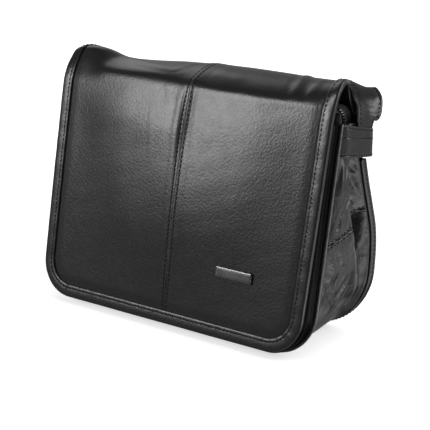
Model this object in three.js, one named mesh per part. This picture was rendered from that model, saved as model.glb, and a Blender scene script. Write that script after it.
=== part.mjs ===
// A flap-over leather shoulder bag that stands on its base, in millimetres with +Z up.
// X runs across the bag, Y from the flap to the back, and the origin is the middle of the base.
import * as THREE from 'three';

const { clamp, degToRad, lerp } = THREE.MathUtils;

// Driving sizes
const GAP = 0.3;
const FLAP = {
  halfWidth: 150, corner: 34, footY: -62, footZ: 6, lean: degToRad(11.5),
  straight: 200, over: 96, leather: 2.2, lapEndZ: 190, lapStand: 3,
};
const FOLD = {
  lead: 30, shoulderZ: 211, shoulderSwell: 1.4, hipZ: 207,
  front: { y: 0.35, z: 0.62 }, back: { y: 0.72, z: 0.3 },
};
const BORDER = { wrap: 1.2, band: 10, innerBand: 9, lift: 0.85 };
const BADGE = { width: 38, height: 9.6, thickness: 1.3, x: 70.4, rise: 57.3, corner: 0.8, bevel: 0.4 };
const BODY = { halfWidth: 147, frontCorner: 36, backCorner: 50, edgeZ: 4, leather: 1.8 };
const POCKET = { stand: 4.3, panel: 1.8, depth: 15.5, top: 196 };
const DIVIDER = { thickness: 2, top: 204.6, inset: 1.2 };
const BACK = { thickness: 2.2, top: 200, inset: 2.8 };
const PIPING = { radius: 1.8, stand: 1, seam: 2.2, sides: 6 };
const EDGE_BAND = { width: 8, top: 159.5, proud: 1, sunk: 2.5, seam: 2.2, round: 1 };
const GUSSET = { top: 193, seamFront: 95, seamBack: 115, seamGap: 0.6 };
const ZIP = { halfLength: 140, corner: 12, top: 206.4, low: 180, y: 7.6, tape: 10.4, tapeThickness: 0.9 };
const TEETH = { width: 3.4, thickness: 2.6 };
const SLIDER = {
  x: 116, length: 9, width: 8, nose: 0.7, pullLength: 24, pullWidth: 5, thickness: 1.6, bevel: 0.3,
};
const STRAP = { width: 26, thickness: 2.6, stepsPerRow: 3 };
const TAB_LEATHER = 2;

// Line of the highest points of the domed top, across the bag
const CREST = [
  { x: -150, y: -2, z: 227 },
  { x: -136, y: -2, z: 231 },
  { x: -118, y: 0, z: 229.5 },
  { x: -102, y: 8, z: 223.5 },
  { x: -75, y: 14, z: 222.5 },
  { x: -20, y: 17, z: 225.5 },
  { x: 35, y: 17, z: 226.5 },
  { x: 90, y: 15, z: 226.5 },
  { x: 128, y: 6, z: 228 },
  { x: 150, y: -5, z: 232 },
];

// Outer line of the back, from the base to the top
const BACK_LINE = [
  { z: 0, y: 40 },
  { z: 22, y: 44.5 },
  { z: 50, y: 50.5 },
  { z: 74, y: 53 },
  { z: 96, y: 51.5 },
  { z: 118, y: 45 },
  { z: 140, y: 38 },
  { z: 164, y: 31.5 },
  { z: 190, y: 25.5 },
  { z: 215, y: 21 },
];

// The side pleat by height: where its fold lies between front (0) and back (1), how far the front half
// bulges and the back half sinks, and how far the strip stands proud where the bag rests on it
const PLEAT_BY_HEIGHT = [
  { z: 4, fold: 0.5, bulge: 0, sink: 0, rest: 4 },
  { z: 8, fold: 0.54, bulge: 0, sink: 0, rest: 0 },
  { z: 14, fold: 0.6, bulge: 0, sink: 0, rest: -3 },
  { z: 28, fold: 0.68, bulge: 0.5, sink: 2, rest: -5 },
  { z: 46, fold: 0.72, bulge: 2.6, sink: 6, rest: -2.5 },
  { z: 84, fold: 0.58, bulge: 5, sink: 9, rest: 0 },
  { z: 112, fold: 0.5, bulge: 5, sink: 9, rest: 0 },
  { z: 148, fold: 0.43, bulge: 4, sink: 8, rest: 0 },
  { z: 172, fold: 0.43, bulge: 1.2, sink: 3.5, rest: 0 },
  { z: 193, fold: 0.43, bulge: 0.8, sink: 2.5, rest: 0 },
];

// Section of the pleat from the front seam to the back edge, with the fold half way
const PLEAT_SECTION = [
  { w: 0, bulge: 0, sink: 0, rest: 0 },
  { w: 0.1, bulge: 0.45, sink: 0, rest: 0.8 },
  { w: 0.25, bulge: 0.85, sink: 0, rest: 1 },
  { w: 0.42, bulge: 1, sink: 0, rest: 1 },
  { w: 0.5, bulge: 0.8, sink: 0, rest: 1 },
  { w: 0.58, bulge: 0, sink: 0.6, rest: 1 },
  { w: 0.7, bulge: 0, sink: 1, rest: 1 },
  { w: 0.84, bulge: 0, sink: 0.85, rest: 1 },
  { w: 0.93, bulge: 0, sink: 0.45, rest: 0.8 },
  { w: 1, bulge: 0, sink: 0, rest: 0 },
];

// How far each side of the flap's leather draws in, by its way up from the foot: a slight taper to the foot,
// and behind the crest room for the strap
const SIDE_INSET = [
  { way: 0, left: 2.4, right: 5.4 },
  { way: 100, left: 0.8, right: 3.4 },
  { way: 200, left: 0, right: 1.6 },
  { way: 248, left: 0, right: 1.8 },
  { way: 256, left: 5, right: 6.5 },
  { way: 264, left: 10.5, right: 11 },
  { way: 272, left: 12, right: 12 },
  { way: 296, left: 12, right: 12 },
];

// Outer face of a tab from its front edge, out over the strap and round the strap's back edge
const TAB_PATH = [
  { x: 152.1, y: -9.8, low: 168, high: 196 },
  { x: 152.6, y: 0, low: 166.5, high: 193.8 },
  { x: 152.8, y: 12, low: 164.8, high: 191 },
  { x: 152.7, y: 24, low: 163, high: 188.2 },
  { x: 152.4, y: 31, low: 162, high: 186.6 },
  { x: 151.2, y: 35.8, low: 161.2, high: 185.6 },
  { x: 148.5, y: 37.6, low: 161, high: 185.2 },
];

// Middle line of the strap from the right tab to the floor, with its width there; turn is 0 where the width
// lies along Y and 90 where it lies along X, and tilt raises the front or inner edge
const STRAP_RIGHT = [
  { x: 148.7, y: 19, z: 167, turn: -3, tilt: 13, width: 19 },
  { x: 148.7, y: 20.7, z: 177, turn: -3, tilt: 13, width: 19 },
  { x: 148.5, y: 21.9, z: 188, turn: -4, tilt: 13, width: 19 },
  { x: 149, y: 28.8, z: 197.5, turn: 4, tilt: 11, width: 22.5 },
  { x: 146.3, y: 37, z: 204.8, turn: 21, tilt: 9, width: 25 },
  { x: 141.5, y: 41, z: 212, turn: 40, tilt: 15, width: STRAP.width },
  { x: 133.1, y: 44, z: 217.5, turn: 57, tilt: 23, width: STRAP.width },
  { x: 129.5, y: 49.5, z: 214.5, turn: 66, tilt: 19, width: STRAP.width },
  { x: 126, y: 54.5, z: 206, turn: 76, tilt: 10, width: STRAP.width },
  { x: 122, y: 57.5, z: 190, turn: 84, tilt: 5, width: STRAP.width },
  { x: 107, y: 60.5, z: 140, turn: 90, tilt: 0, width: STRAP.width },
  { x: 90, y: 63, z: 85, turn: 90, tilt: 0, width: STRAP.width },
  { x: 75, y: 66, z: 40, turn: 90, tilt: 0, width: STRAP.width },
  { x: 67, y: 75, z: 14, turn: 90, tilt: 0, width: STRAP.width },
  { x: 63, y: 87, z: 4.4, turn: 90, tilt: 0, width: STRAP.width },
  { x: 61, y: 102, z: 1.7, turn: 90, tilt: 0, width: STRAP.width },
];

// The stretch that lies flat on the floor behind the bag
const STRAP_FLOOR = [
  { x: 57, y: 138, z: 1.5 },
  { x: 36, y: 180, z: 1.5 },
  { x: -12, y: 207, z: 1.5 },
  { x: -75, y: 213, z: 1.5 },
  { x: -132, y: 198, z: 1.5 },
  { x: -164, y: 165, z: 1.5 },
  { x: -163, y: 132, z: 1.5 },
];

// The left end rises less before it falls back
const STRAP_LEFT = [
  { x: -154, y: 104, z: 1.7, turn: 90, tilt: 0, width: STRAP.width },
  { x: -148, y: 87, z: 4.4, turn: 90, tilt: 0, width: STRAP.width },
  { x: -144, y: 75, z: 14, turn: 90, tilt: 0, width: STRAP.width },
  { x: -141, y: 66, z: 40, turn: 90, tilt: 0, width: STRAP.width },
  { x: -139, y: 62, z: 85, turn: 90, tilt: 0, width: STRAP.width },
  { x: -138, y: 59, z: 130, turn: 90, tilt: 0, width: STRAP.width },
  { x: -136, y: 56.5, z: 165, turn: 90, tilt: 0, width: STRAP.width },
  { x: -135, y: 52.5, z: 186, turn: 82, tilt: 3, width: STRAP.width },
  { x: -136.5, y: 47, z: 197, turn: 70, tilt: 6, width: STRAP.width },
  { x: -140.5, y: 41.5, z: 201.5, turn: 50, tilt: 8, width: STRAP.width },
  { x: -145.5, y: 36, z: 200, turn: 25, tilt: 9, width: 25 },
  { x: -148.6, y: 28, z: 196.5, turn: 4, tilt: 11, width: 22 },
  { x: -148.5, y: 21.9, z: 188, turn: -4, tilt: 13, width: 19 },
  { x: -148.7, y: 20.7, z: 177, turn: -3, tilt: 13, width: 19 },
  { x: -148.7, y: 19, z: 167, turn: -3, tilt: 13, width: 19 },
];

// Finishes
const leather = new THREE.MeshStandardMaterial({ color: 0x17171a, roughness: 0.42, metalness: 0 });
const softLeather = new THREE.MeshStandardMaterial({ color: 0x141416, roughness: 0.5, metalness: 0 });
const tapeCloth = new THREE.MeshStandardMaterial({ color: 0x0d0d0e, roughness: 0.85, metalness: 0 });
const nickel = new THREE.MeshStandardMaterial({ color: 0x4a4a4d, roughness: 0.3, metalness: 1 });

// One column of a table at a key, on a smooth curve through its rows
function valueAt(table, key, name, at) {
  const last = table.length - 1;
  const place = clamp(at, table[0][key], table[last][key]);
  const next = table.findIndex((row, k) => k > 0 && place <= row[key]);
  const slope = (k) => {
    const before = table[Math.max(k - 1, 0)];
    const after = table[Math.min(k + 1, last)];
    return (after[name] - before[name]) / (after[key] - before[key]);
  };
  const low = table[next - 1];
  const high = table[next];
  const span = high[key] - low[key];
  const t = (place - low[key]) / span;
  const rise = t * t * (3 - 2 * t);
  const lowSwing = t * (1 - t) * (1 - t) * span * slope(next - 1);
  const highSwing = t * t * (t - 1) * span * slope(next);
  return lerp(low[name], high[name], rise) + lowSwing + highSwing;
}

// A closed solid from points and triangles, with its faces pointing out
function solid(points, faces) {
  const volume = faces.reduce((sum, [a, b, c]) => {
    const turned = new THREE.Vector3().crossVectors(points[b], points[c]);
    return sum + points[a].dot(turned);
  }, 0);
  const outward = volume > 0 ? faces : faces.map(([a, b, c]) => [a, c, b]);
  const geometry = new THREE.BufferGeometry().setFromPoints(points);
  geometry.setIndex(outward.flat());
  geometry.computeVertexNormals();
  return geometry;
}

// A sheet of even thickness behind a grid of points on its outer face; stand lifts the whole sheet, and
// normals gives the way its thickness runs where the grid alone is too coarse for it
function sheet(grid, thickness, stand = 0, normals = null) {
  const rows = grid.length;
  const columns = grid[0].length;
  const normalAt = (i, j) => {
    if (normals) return normals[i][j];
    const across = grid[i][Math.min(j + 1, columns - 1)].clone().sub(grid[i][Math.max(j - 1, 0)]);
    const along = grid[Math.min(i + 1, rows - 1)][j].clone().sub(grid[Math.max(i - 1, 0)][j]);
    return across.cross(along).normalize();
  };
  const layer = (lift) => grid.flatMap((row, i) => (
    row.map((point, j) => point.clone().addScaledVector(normalAt(i, j), lift))
  ));
  const points = [...layer(stand), ...layer(stand - thickness)];
  const outer = (i, j) => i * columns + j;
  const inner = (i, j) => rows * columns + outer(i, j);
  const faces = [];
  const quad = (a, b, c, d) => faces.push([a, b, c], [a, c, d]);
  for (let i = 0; i < rows - 1; i += 1) {
    for (let j = 0; j < columns - 1; j += 1) {
      quad(outer(i, j), outer(i, j + 1), outer(i + 1, j + 1), outer(i + 1, j));
      quad(inner(i, j), inner(i + 1, j), inner(i + 1, j + 1), inner(i, j + 1));
    }
    quad(outer(i, 0), outer(i + 1, 0), inner(i + 1, 0), inner(i, 0));
    quad(outer(i + 1, columns - 1), outer(i, columns - 1), inner(i, columns - 1), inner(i + 1, columns - 1));
  }
  for (let j = 0; j < columns - 1; j += 1) {
    quad(outer(0, j + 1), outer(0, j), inner(0, j), inner(0, j + 1));
    quad(outer(rows - 1, j), outer(rows - 1, j + 1), inner(rows - 1, j + 1), inner(rows - 1, j));
  }
  return solid(points, faces);
}

// A band through rings of points, each ring one copy of the same closed section
function sweep(section, rings) {
  const count = section.length;
  const points = rings.flat();
  const faces = [];
  for (let k = 0; k < rings.length - 1; k += 1) {
    for (let i = 0; i < count; i += 1) {
      const j = (i + 1) % count;
      const [a, b] = [k * count + i, k * count + j];
      faces.push([a, b, b + count], [a, b + count, a + count]);
    }
  }
  const outline = section.map(({ out, up }) => new THREE.Vector2(out, up));
  const turning = Math.sign(THREE.ShapeUtils.area(outline));
  const last = (rings.length - 1) * count;
  for (const [a, b, c] of THREE.ShapeUtils.triangulateShape(outline, [])) {
    const turn = Math.sign(THREE.ShapeUtils.area([outline[a], outline[b], outline[c]]));
    const [p, q, r] = turn === turning ? [a, b, c] : [a, c, b];
    faces.push([p, r, q], [last + p, last + q, last + r]);
  }
  return solid(points, faces);
}

// Planes of the body
const flapY = (z) => FLAP.footY + (z - FLAP.footZ) * Math.tan(FLAP.lean);
const dividerY = (z) => flapY(z) + POCKET.depth;
const backY = (z) => valueAt(BACK_LINE, 'z', 'y', z);

// Profile of the flap over the top at one place across the bag: up its face, round the shoulder, over the
// crest and down past the hip to the lap's end
function foldCurve(x) {
  const crest = { y: valueAt(CREST, 'x', 'y', x), z: valueAt(CREST, 'x', 'z', x) };
  const shoulder = { y: flapY(FOLD.shoulderZ) + FOLD.shoulderSwell, z: FOLD.shoulderZ };
  const hip = { y: backY(FOLD.hipZ) + FLAP.lapStand, z: FOLD.hipZ };
  const faceAt = (way) => ({
    y: FLAP.footY + way * Math.sin(FLAP.lean), z: FLAP.footZ + way * Math.cos(FLAP.lean),
  });
  const between = (from, to, share) => ({ y: lerp(from.y, to.y, share.y), z: lerp(from.z, to.z, share.z) });
  const route = [
    faceAt(FLAP.straight - FOLD.lead),
    faceAt(FLAP.straight),
    shoulder,
    between(shoulder, crest, FOLD.front),
    crest,
    between(crest, hip, FOLD.back),
    hip,
    { y: backY(FLAP.lapEndZ) + FLAP.lapStand, z: FLAP.lapEndZ },
  ];
  return new THREE.CatmullRomCurve3(route.map(({ y, z }) => new THREE.Vector3(x, y, z)));
}

// A point of the flap's outer face, by its place across and its way up from the foot
function flapPoint(x, way) {
  if (way <= FLAP.straight) {
    const y = FLAP.footY + way * Math.sin(FLAP.lean);
    return new THREE.Vector3(x, y, FLAP.footZ + way * Math.cos(FLAP.lean));
  }
  const fold = foldCurve(x);
  const start = 1 / (fold.points.length - 1);
  return fold.getPoint(lerp(start, 1, (way - FLAP.straight) / FLAP.over));
}

function flapNormal(x, way) {
  const step = 0.5;
  const across = flapPoint(x + step, way).sub(flapPoint(x - step, way));
  const up = flapPoint(x, Math.min(way + step, FLAP.straight + FLAP.over)).sub(flapPoint(x, way - step));
  return across.cross(up).normalize();
}

const FLAP_INSET = BORDER.wrap + GAP;
const FLAP_EDGE = FLAP.halfWidth - FLAP_INSET;
const FLAP_RADIUS = FLAP.corner - FLAP_INSET;
const CORNER_STEPS = 6;
const FOLD_STEPS = 12;
const BORDER_FOLD_STEPS = 6;
const FACE_WAYS = [64, 98, 132, 166, FLAP.straight];
const foldWay = (k) => FLAP.straight + (FLAP.over * k) / FOLD_STEPS;

// Width of one half of the flap's leather at a way up from the foot; side is 1 on the right
function flapEdge(way, side) {
  return FLAP_EDGE - valueAt(SIDE_INSET, 'way', side > 0 ? 'right' : 'left', way);
}

// Corner of the flap's foot: places along a quarter circle, from the foot's straight to the side
function flapCorner(side) {
  const edge = flapEdge(FLAP_INSET + FLAP_RADIUS, side);
  return Array.from({ length: CORNER_STEPS + 1 }, (_, k) => {
    const angle = (Math.PI / 2) * (k / CORNER_STEPS);
    return {
      x: edge - FLAP_RADIUS + FLAP_RADIUS * Math.sin(angle),
      way: FLAP_INSET + FLAP_RADIUS * (1 - Math.cos(angle)),
      outX: Math.sin(angle),
      outWay: -Math.cos(angle),
    };
  });
}

// One half of the flap, from the centre seam out to its border
function flapHalf(side) {
  const shares = [0, 0.1, 0.22, 0.35, 0.48, 0.6, 0.71, 0.82, 1 - BORDER.band / FLAP_EDGE, 1];
  const folds = Array.from({ length: FOLD_STEPS }, (_, k) => foldWay(k + 1));
  const straightRows = [...FACE_WAYS, ...folds].map((way) => ({ x: flapEdge(way, side), way }));
  const rows = [...flapCorner(side), ...straightRows];
  const ordered = side > 0 ? shares : shares.slice().reverse();
  const over = (surface) => rows.map(({ x, way }) => (
    ordered.map((share) => surface(side * lerp(GAP / 2, x, share), way))
  ));
  return sheet(over(flapPoint), FLAP.leather, 0, over(flapNormal));
}

// The border band wraps the flap's edge from the left top, round the foot, to the right top
function flapBinding() {
  const under = -FLAP.leather - BORDER.lift;
  const skin = under - BORDER.wrap + GAP;
  const top = BORDER.lift + BORDER.wrap - GAP;
  const section = [
    { out: -BORDER.band, up: BORDER.lift },
    { out: -BORDER.band, up: top },
    { out: -BORDER.band / 2, up: top + GAP },
    { out: GAP, up: top },
    { out: FLAP_INSET, up: BORDER.lift },
    { out: FLAP_INSET, up: under },
    { out: GAP, up: skin },
    { out: -BORDER.innerBand, up: skin },
    { out: -BORDER.innerBand, up: under },
    { out: GAP, up: under },
    { out: GAP, up: BORDER.lift },
  ];
  const folds = Array.from({ length: BORDER_FOLD_STEPS }, (_, k) => foldWay(k + 1));
  const climb = (side) => [...FACE_WAYS, ...folds].map((way) => (
    { x: flapEdge(way, side), way, outX: 1, outWay: 0 }
  ));
  const half = (side) => [...flapCorner(side), ...climb(side)].map((stop) => (
    { ...stop, x: side * stop.x, outX: side * stop.outX }
  ));
  const middle = { x: 0, way: FLAP_INSET, outX: 0, outWay: -1 };
  const stops = [...half(-1).reverse(), middle, ...half(1)];
  return sweep(section, stops.map(({ x, way, outX, outWay }) => section.map(({ out, up }) => {
    const place = [x + outX * out, way + outWay * out];
    return flapPoint(...place).addScaledVector(flapNormal(...place), up);
  })));
}

const BASE_STEPS = 3;
const SIDE_STEPS = 9;

// Stations down the left side, round the base and up the right side of the body's outline
function bodyOutline(top, corner, inset = 0) {
  const half = BODY.halfWidth - inset;
  const radius = corner - inset;
  const low = BODY.edgeZ + inset;
  const right = [];
  for (let k = 0; k < BASE_STEPS; k += 1) {
    right.push({ x: ((half - radius) * k) / BASE_STEPS, z: low, outX: 0, outZ: -1 });
  }
  for (let k = 0; k <= CORNER_STEPS; k += 1) {
    const angle = (Math.PI / 2) * (k / CORNER_STEPS);
    const [outX, outZ] = [Math.sin(angle), -Math.cos(angle)];
    right.push({ x: half - radius + radius * outX, z: low + radius + radius * outZ, outX, outZ });
  }
  for (let k = 1; k <= SIDE_STEPS; k += 1) {
    right.push({ x: half, z: lerp(low + radius, top, k / SIDE_STEPS), outX: 1, outZ: 0 });
  }
  const left = right.slice(1).reverse().map((stop) => ({ ...stop, x: -stop.x, outX: -stop.outX }));
  return [...left, ...right];
}

// A flat or curved wall inside the body's outline, whose outer face lies at a depth by height; it faces -Y,
// or +Y at the back
function wall({ planeY, top, corner, inset, thickness, back = false }) {
  const columns = 8;
  const rows = bodyOutline(top, corner, inset).slice(-(SIDE_STEPS + CORNER_STEPS + 1));
  const shares = Array.from({ length: columns + 1 }, (_, k) => (2 * k) / columns - 1);
  const ordered = back ? shares.slice().reverse() : shares;
  return sheet(rows.map(({ x, z }) => (
    ordered.map((share) => new THREE.Vector3(share * x, planeY(z), z))
  )), thickness);
}

// The narrow strip round the pocket, between its front and the seam
function frontGusset() {
  const edges = [POCKET.stand + POCKET.panel + 2 * GAP, POCKET.depth - PIPING.seam];
  const columns = [{ share: 0, crown: 0 }, { share: 0.5, crown: 1 }, { share: 1, crown: 0 }];
  const stops = bodyOutline(POCKET.top, BODY.frontCorner);
  return sheet(stops.map(({ x, z, outX, outZ }) => columns.map(({ share, crown }) => (
    new THREE.Vector3(x + outX * crown, flapY(z) + lerp(...edges, share), z + outZ * crown)
  ))), BODY.leather);
}

// A band that follows the body's outline at a depth that depends on the height
function edgeBand(section, { planeY, top, corner }) {
  return sweep(section, bodyOutline(top, corner).map(({ x, z, outX, outZ }) => section.map(({ out, up }) => (
    new THREE.Vector3(x + outX * out, planeY(z) + up, z + outZ * out)
  ))));
}

function roundSection(radius, stand, sides) {
  return Array.from({ length: sides }, (_, k) => {
    const angle = (2 * Math.PI * k) / sides;
    return { out: stand + radius * Math.cos(angle), up: radius * Math.sin(angle) };
  });
}

const BACK_BAND_SECTION = [
  { out: -EDGE_BAND.sunk, up: -EDGE_BAND.width },
  { out: 0, up: -EDGE_BAND.width },
  { out: EDGE_BAND.proud, up: EDGE_BAND.round - EDGE_BAND.width },
  { out: EDGE_BAND.proud, up: -EDGE_BAND.round },
  { out: 0, up: GAP },
  { out: -EDGE_BAND.sunk, up: GAP },
];

// One point of the pleated gusset, at a station of the outline and a column of the pleat's section
function gussetPoint({ x, z, outX, outZ }, column) {
  const amount = (name) => valueAt(PLEAT_BY_HEIGHT, 'z', name, z);
  const fold = amount('fold');
  const share = column.w < 0.5 ? 2 * column.w * fold : lerp(fold, 1, 2 * column.w - 1);
  const y = lerp(dividerY(z) + PIPING.seam, backY(z) - EDGE_BAND.width - EDGE_BAND.seam, share);
  const lift = column.bulge * amount('bulge') - column.sink * amount('sink') + column.rest * amount('rest');
  return new THREE.Vector3(x + outX * lift, y, z + outZ * lift);
}

const seamHeight = (column) => lerp(GUSSET.seamFront, GUSSET.seamBack, column.w);

// The bottom strip with the lower sides, up to the slanting side seam
function baseGusset() {
  const outlines = PLEAT_SECTION.map((column) => (
    bodyOutline(seamHeight(column), lerp(BODY.frontCorner, BODY.backCorner, column.w))
  ));
  const grid = outlines[0].map((_, i) => (
    PLEAT_SECTION.map((column, j) => gussetPoint(outlines[j][i], column))
  ));
  return sheet(grid, BODY.leather);
}

// An upper side piece, from the side seam to the top of the gusset
function upperGusset(side) {
  const rows = 8;
  const columns = side > 0 ? PLEAT_SECTION : PLEAT_SECTION.slice().reverse();
  return sheet(Array.from({ length: rows + 1 }, (_, k) => columns.map((column) => {
    const z = lerp(seamHeight(column) + GUSSET.seamGap, GUSSET.top, k / rows);
    return gussetPoint({ x: side * BODY.halfWidth, z, outX: side, outZ: 0 }, column);
  })), BODY.leather);
}

// Stations of the zip, up inside the left gusset, across the top and down inside the right one
function zipRoute() {
  const right = [{ x: ZIP.halfLength, z: ZIP.low, upX: 1, upZ: 0 }];
  for (let k = 0; k <= CORNER_STEPS; k += 1) {
    const angle = (Math.PI / 2) * (k / CORNER_STEPS);
    const [upX, upZ] = [Math.cos(angle), Math.sin(angle)];
    const [x, z] = [ZIP.halfLength - ZIP.corner, ZIP.top - ZIP.corner];
    right.push({ x: x + ZIP.corner * upX, z: z + ZIP.corner * upZ, upX, upZ });
  }
  right.push({ x: ZIP.halfLength / 3, z: ZIP.top, upX: 0, upZ: 1 });
  const left = right.slice().reverse().map((stop) => ({ ...stop, x: -stop.x, upX: -stop.upX }));
  return [...right, ...left].reverse();
}

// A strip of the zip between two distances from its middle
function zipStrip(near, far, thickness, stand) {
  return sheet(zipRoute().map(({ x, z, upX, upZ }) => [far, near].map((offset) => (
    new THREE.Vector3(x + upX * stand, ZIP.y + offset, z + upZ * stand)
  ))), thickness);
}

const TEETH_STAND = TEETH.thickness / 3;
const TAPE_EDGE = TEETH.width / 2 + GAP;
const TAPE_FAR = TAPE_EDGE + ZIP.tape;

// The slider's body with its pull lying along the teeth
function zipSlider() {
  const [half, pull] = [SLIDER.width / 2, SLIDER.pullWidth / 2];
  const shape = new THREE.Shape();
  shape.moveTo(0, -half);
  shape.lineTo(SLIDER.length, -half * SLIDER.nose);
  shape.lineTo(SLIDER.length, half * SLIDER.nose);
  shape.lineTo(0, half);
  shape.lineTo(0, pull);
  shape.lineTo(-SLIDER.pullLength, pull);
  shape.lineTo(-SLIDER.pullLength, -pull);
  shape.lineTo(0, -pull);
  shape.closePath();
  return new THREE.ExtrudeGeometry(shape, {
    depth: SLIDER.thickness, bevelSize: SLIDER.bevel, bevelThickness: SLIDER.bevel, bevelSegments: 1,
  });
}

// The whole strap, with its width turned as the tables say and square to the way it runs
function strapGeometry() {
  const floor = STRAP_FLOOR.map((row) => ({ ...row, turn: 90, tilt: 0, width: STRAP.width }));
  const rows = [...STRAP_RIGHT, ...floor, ...STRAP_LEFT];
  const route = new THREE.CatmullRomCurve3(rows.map(({ x, y, z }) => new THREE.Vector3(x, y, z)));
  const last = rows.length - 1;
  const lying = [STRAP_RIGHT.length - 1, STRAP_RIGHT.length + floor.length];
  const grid = Array.from({ length: last * STRAP.stepsPerRow + 1 }, (_, k) => {
    const at = k / STRAP.stepsPerRow;
    const low = Math.min(Math.floor(at), last - 1);
    const amount = (name) => lerp(rows[low][name], rows[low + 1][name], at - low);
    const [turn, tilt] = [degToRad(amount('turn')), degToRad(amount('tilt'))];
    const middle = route.getPoint(at / last);
    const along = route.getTangent(at / last);
    const side = at > last / 2 ? -1 : 1;
    const aside = new THREE.Vector3(-side * Math.sin(turn), -Math.cos(turn), Math.tan(tilt));
    if (at > lying[0] && at < lying[1]) {
      aside.crossVectors(new THREE.Vector3(0, 0, 1), along);
    }
    aside.addScaledVector(along, -aside.dot(along)).setLength(amount('width') / 2);
    return [middle.clone().sub(aside), middle.clone().add(aside)];
  });
  return sheet(grid, STRAP.thickness, STRAP.thickness / 2);
}

// A band sewn to the gusset's front seam that goes out over one end of the strap and round its back edge
function strapTab(side) {
  const rows = 3;
  const ordered = side > 0 ? TAB_PATH : TAB_PATH.slice().reverse();
  return sheet(Array.from({ length: rows + 1 }, (_, i) => (
    ordered.map(({ x, y, low, high }) => new THREE.Vector3(side * x, y, lerp(low, high, i / rows)))
  )), TAB_LEATHER);
}

// The bare plate on the flap
function badgePlate() {
  const [half, rise, round] = [BADGE.width / 2, BADGE.height / 2, BADGE.corner];
  const shape = new THREE.Shape();
  shape.moveTo(-half + round, -rise);
  shape.lineTo(half - round, -rise);
  shape.absarc(half - round, -rise + round, round, -Math.PI / 2, 0);
  shape.lineTo(half, rise - round);
  shape.absarc(half - round, rise - round, round, 0, Math.PI / 2);
  shape.lineTo(-half + round, rise);
  shape.absarc(-half + round, rise - round, round, Math.PI / 2, Math.PI);
  shape.lineTo(-half, -rise + round);
  shape.absarc(-half + round, -rise + round, round, Math.PI, 1.5 * Math.PI);
  return new THREE.ExtrudeGeometry(shape, {
    depth: BADGE.thickness - 2 * BADGE.bevel, bevelSize: BADGE.bevel, bevelOffset: -BADGE.bevel,
    bevelThickness: BADGE.bevel, bevelSegments: 1, curveSegments: 2,
  });
}

const bag = new THREE.Group();

function place(name, geometry, material) {
  const mesh = new THREE.Mesh(geometry, material);
  mesh.name = name;
  bag.add(mesh);
  return mesh;
}

place('flap_left', flapHalf(-1), leather);
place('flap_right', flapHalf(1), leather);
place('flap_binding', flapBinding(), leather);
const badge = place('badge', badgePlate(), nickel);
badge.position.copy(flapPoint(BADGE.x, BADGE.rise));
badge.position.addScaledVector(flapNormal(BADGE.x, BADGE.rise), GAP + BADGE.bevel);
badge.rotation.x = Math.PI / 2 - FLAP.lean;
place('front_panel', wall({
  planeY: (z) => flapY(z) + POCKET.stand, top: POCKET.top, corner: BODY.frontCorner, inset: 0,
  thickness: POCKET.panel,
}), leather);
place('front_gusset', frontGusset(), softLeather);
place('divider_panel', wall({
  planeY: (z) => dividerY(z) - DIVIDER.thickness / 2, top: DIVIDER.top, corner: BODY.frontCorner,
  inset: DIVIDER.inset, thickness: DIVIDER.thickness,
}), softLeather);
place('front_piping', edgeBand(roundSection(PIPING.radius, PIPING.stand, PIPING.sides), {
  planeY: dividerY, top: POCKET.top, corner: BODY.frontCorner,
}), leather);
place('base_gusset', baseGusset(), softLeather);
place('gusset_upper_right', upperGusset(1), softLeather);
place('gusset_upper_left', upperGusset(-1), softLeather);
place('back_panel', wall({
  planeY: backY, top: BACK.top, corner: BODY.backCorner, inset: BACK.inset, thickness: BACK.thickness,
  back: true,
}), leather);
place('back_binding', edgeBand(BACK_BAND_SECTION, {
  planeY: backY, top: EDGE_BAND.top, corner: BODY.backCorner,
}), leather);
place('zip_tape_front', zipStrip(-TAPE_FAR, -TAPE_EDGE, ZIP.tapeThickness, 0), tapeCloth);
place('zip_tape_back', zipStrip(TAPE_EDGE, TAPE_FAR, ZIP.tapeThickness, 0), tapeCloth);
place('zip_teeth', zipStrip(-TEETH.width / 2, TEETH.width / 2, TEETH.thickness, TEETH_STAND), nickel);
const slider = place('zip_slider', zipSlider(), nickel);
slider.position.set(SLIDER.x, ZIP.y, ZIP.top + TEETH_STAND + SLIDER.bevel + GAP);
place('strap', strapGeometry(), leather);
place('strap_tab_right', strapTab(1), leather);
place('strap_tab_left', strapTab(-1), leather);

export default bag;
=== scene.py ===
"""Looks of a flap-over leather shoulder bag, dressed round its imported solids.

Shapes are worked out in millimetres in the frame of the solids: X across the bag, Y from the flap to the
back, Z up, with the origin in the middle of the base. Meshes are made in metres. Stations are rows of two
places, such as x and z, with the outward direction in the same two.
"""

import logging
import math
from collections.abc import Iterable, Sequence
from dataclasses import dataclass
from enum import Enum, IntEnum

import bpy
import numpy as np
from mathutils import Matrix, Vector


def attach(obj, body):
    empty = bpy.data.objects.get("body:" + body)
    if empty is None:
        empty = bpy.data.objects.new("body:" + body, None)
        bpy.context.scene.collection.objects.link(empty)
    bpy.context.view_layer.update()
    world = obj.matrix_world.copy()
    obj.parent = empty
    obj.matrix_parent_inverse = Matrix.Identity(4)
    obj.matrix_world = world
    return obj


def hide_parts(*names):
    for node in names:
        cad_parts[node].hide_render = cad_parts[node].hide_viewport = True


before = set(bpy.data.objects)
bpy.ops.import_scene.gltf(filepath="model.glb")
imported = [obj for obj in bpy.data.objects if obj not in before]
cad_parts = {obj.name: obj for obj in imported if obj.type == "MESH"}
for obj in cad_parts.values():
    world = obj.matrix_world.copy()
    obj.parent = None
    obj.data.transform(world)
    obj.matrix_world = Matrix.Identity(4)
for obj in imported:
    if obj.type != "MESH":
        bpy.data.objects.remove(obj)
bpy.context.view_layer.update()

log = logging.getLogger("shoulder_bag")
Grid = np.ndarray
Place = tuple[float, float, float]
MM = 0.001
ROOT = "root"
QUARTER = math.pi / 2
FLIP_ACROSS = np.array([-1, 1, -1, 1])
FLIP_UP = np.array([1, -1, 1, -1])


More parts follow.
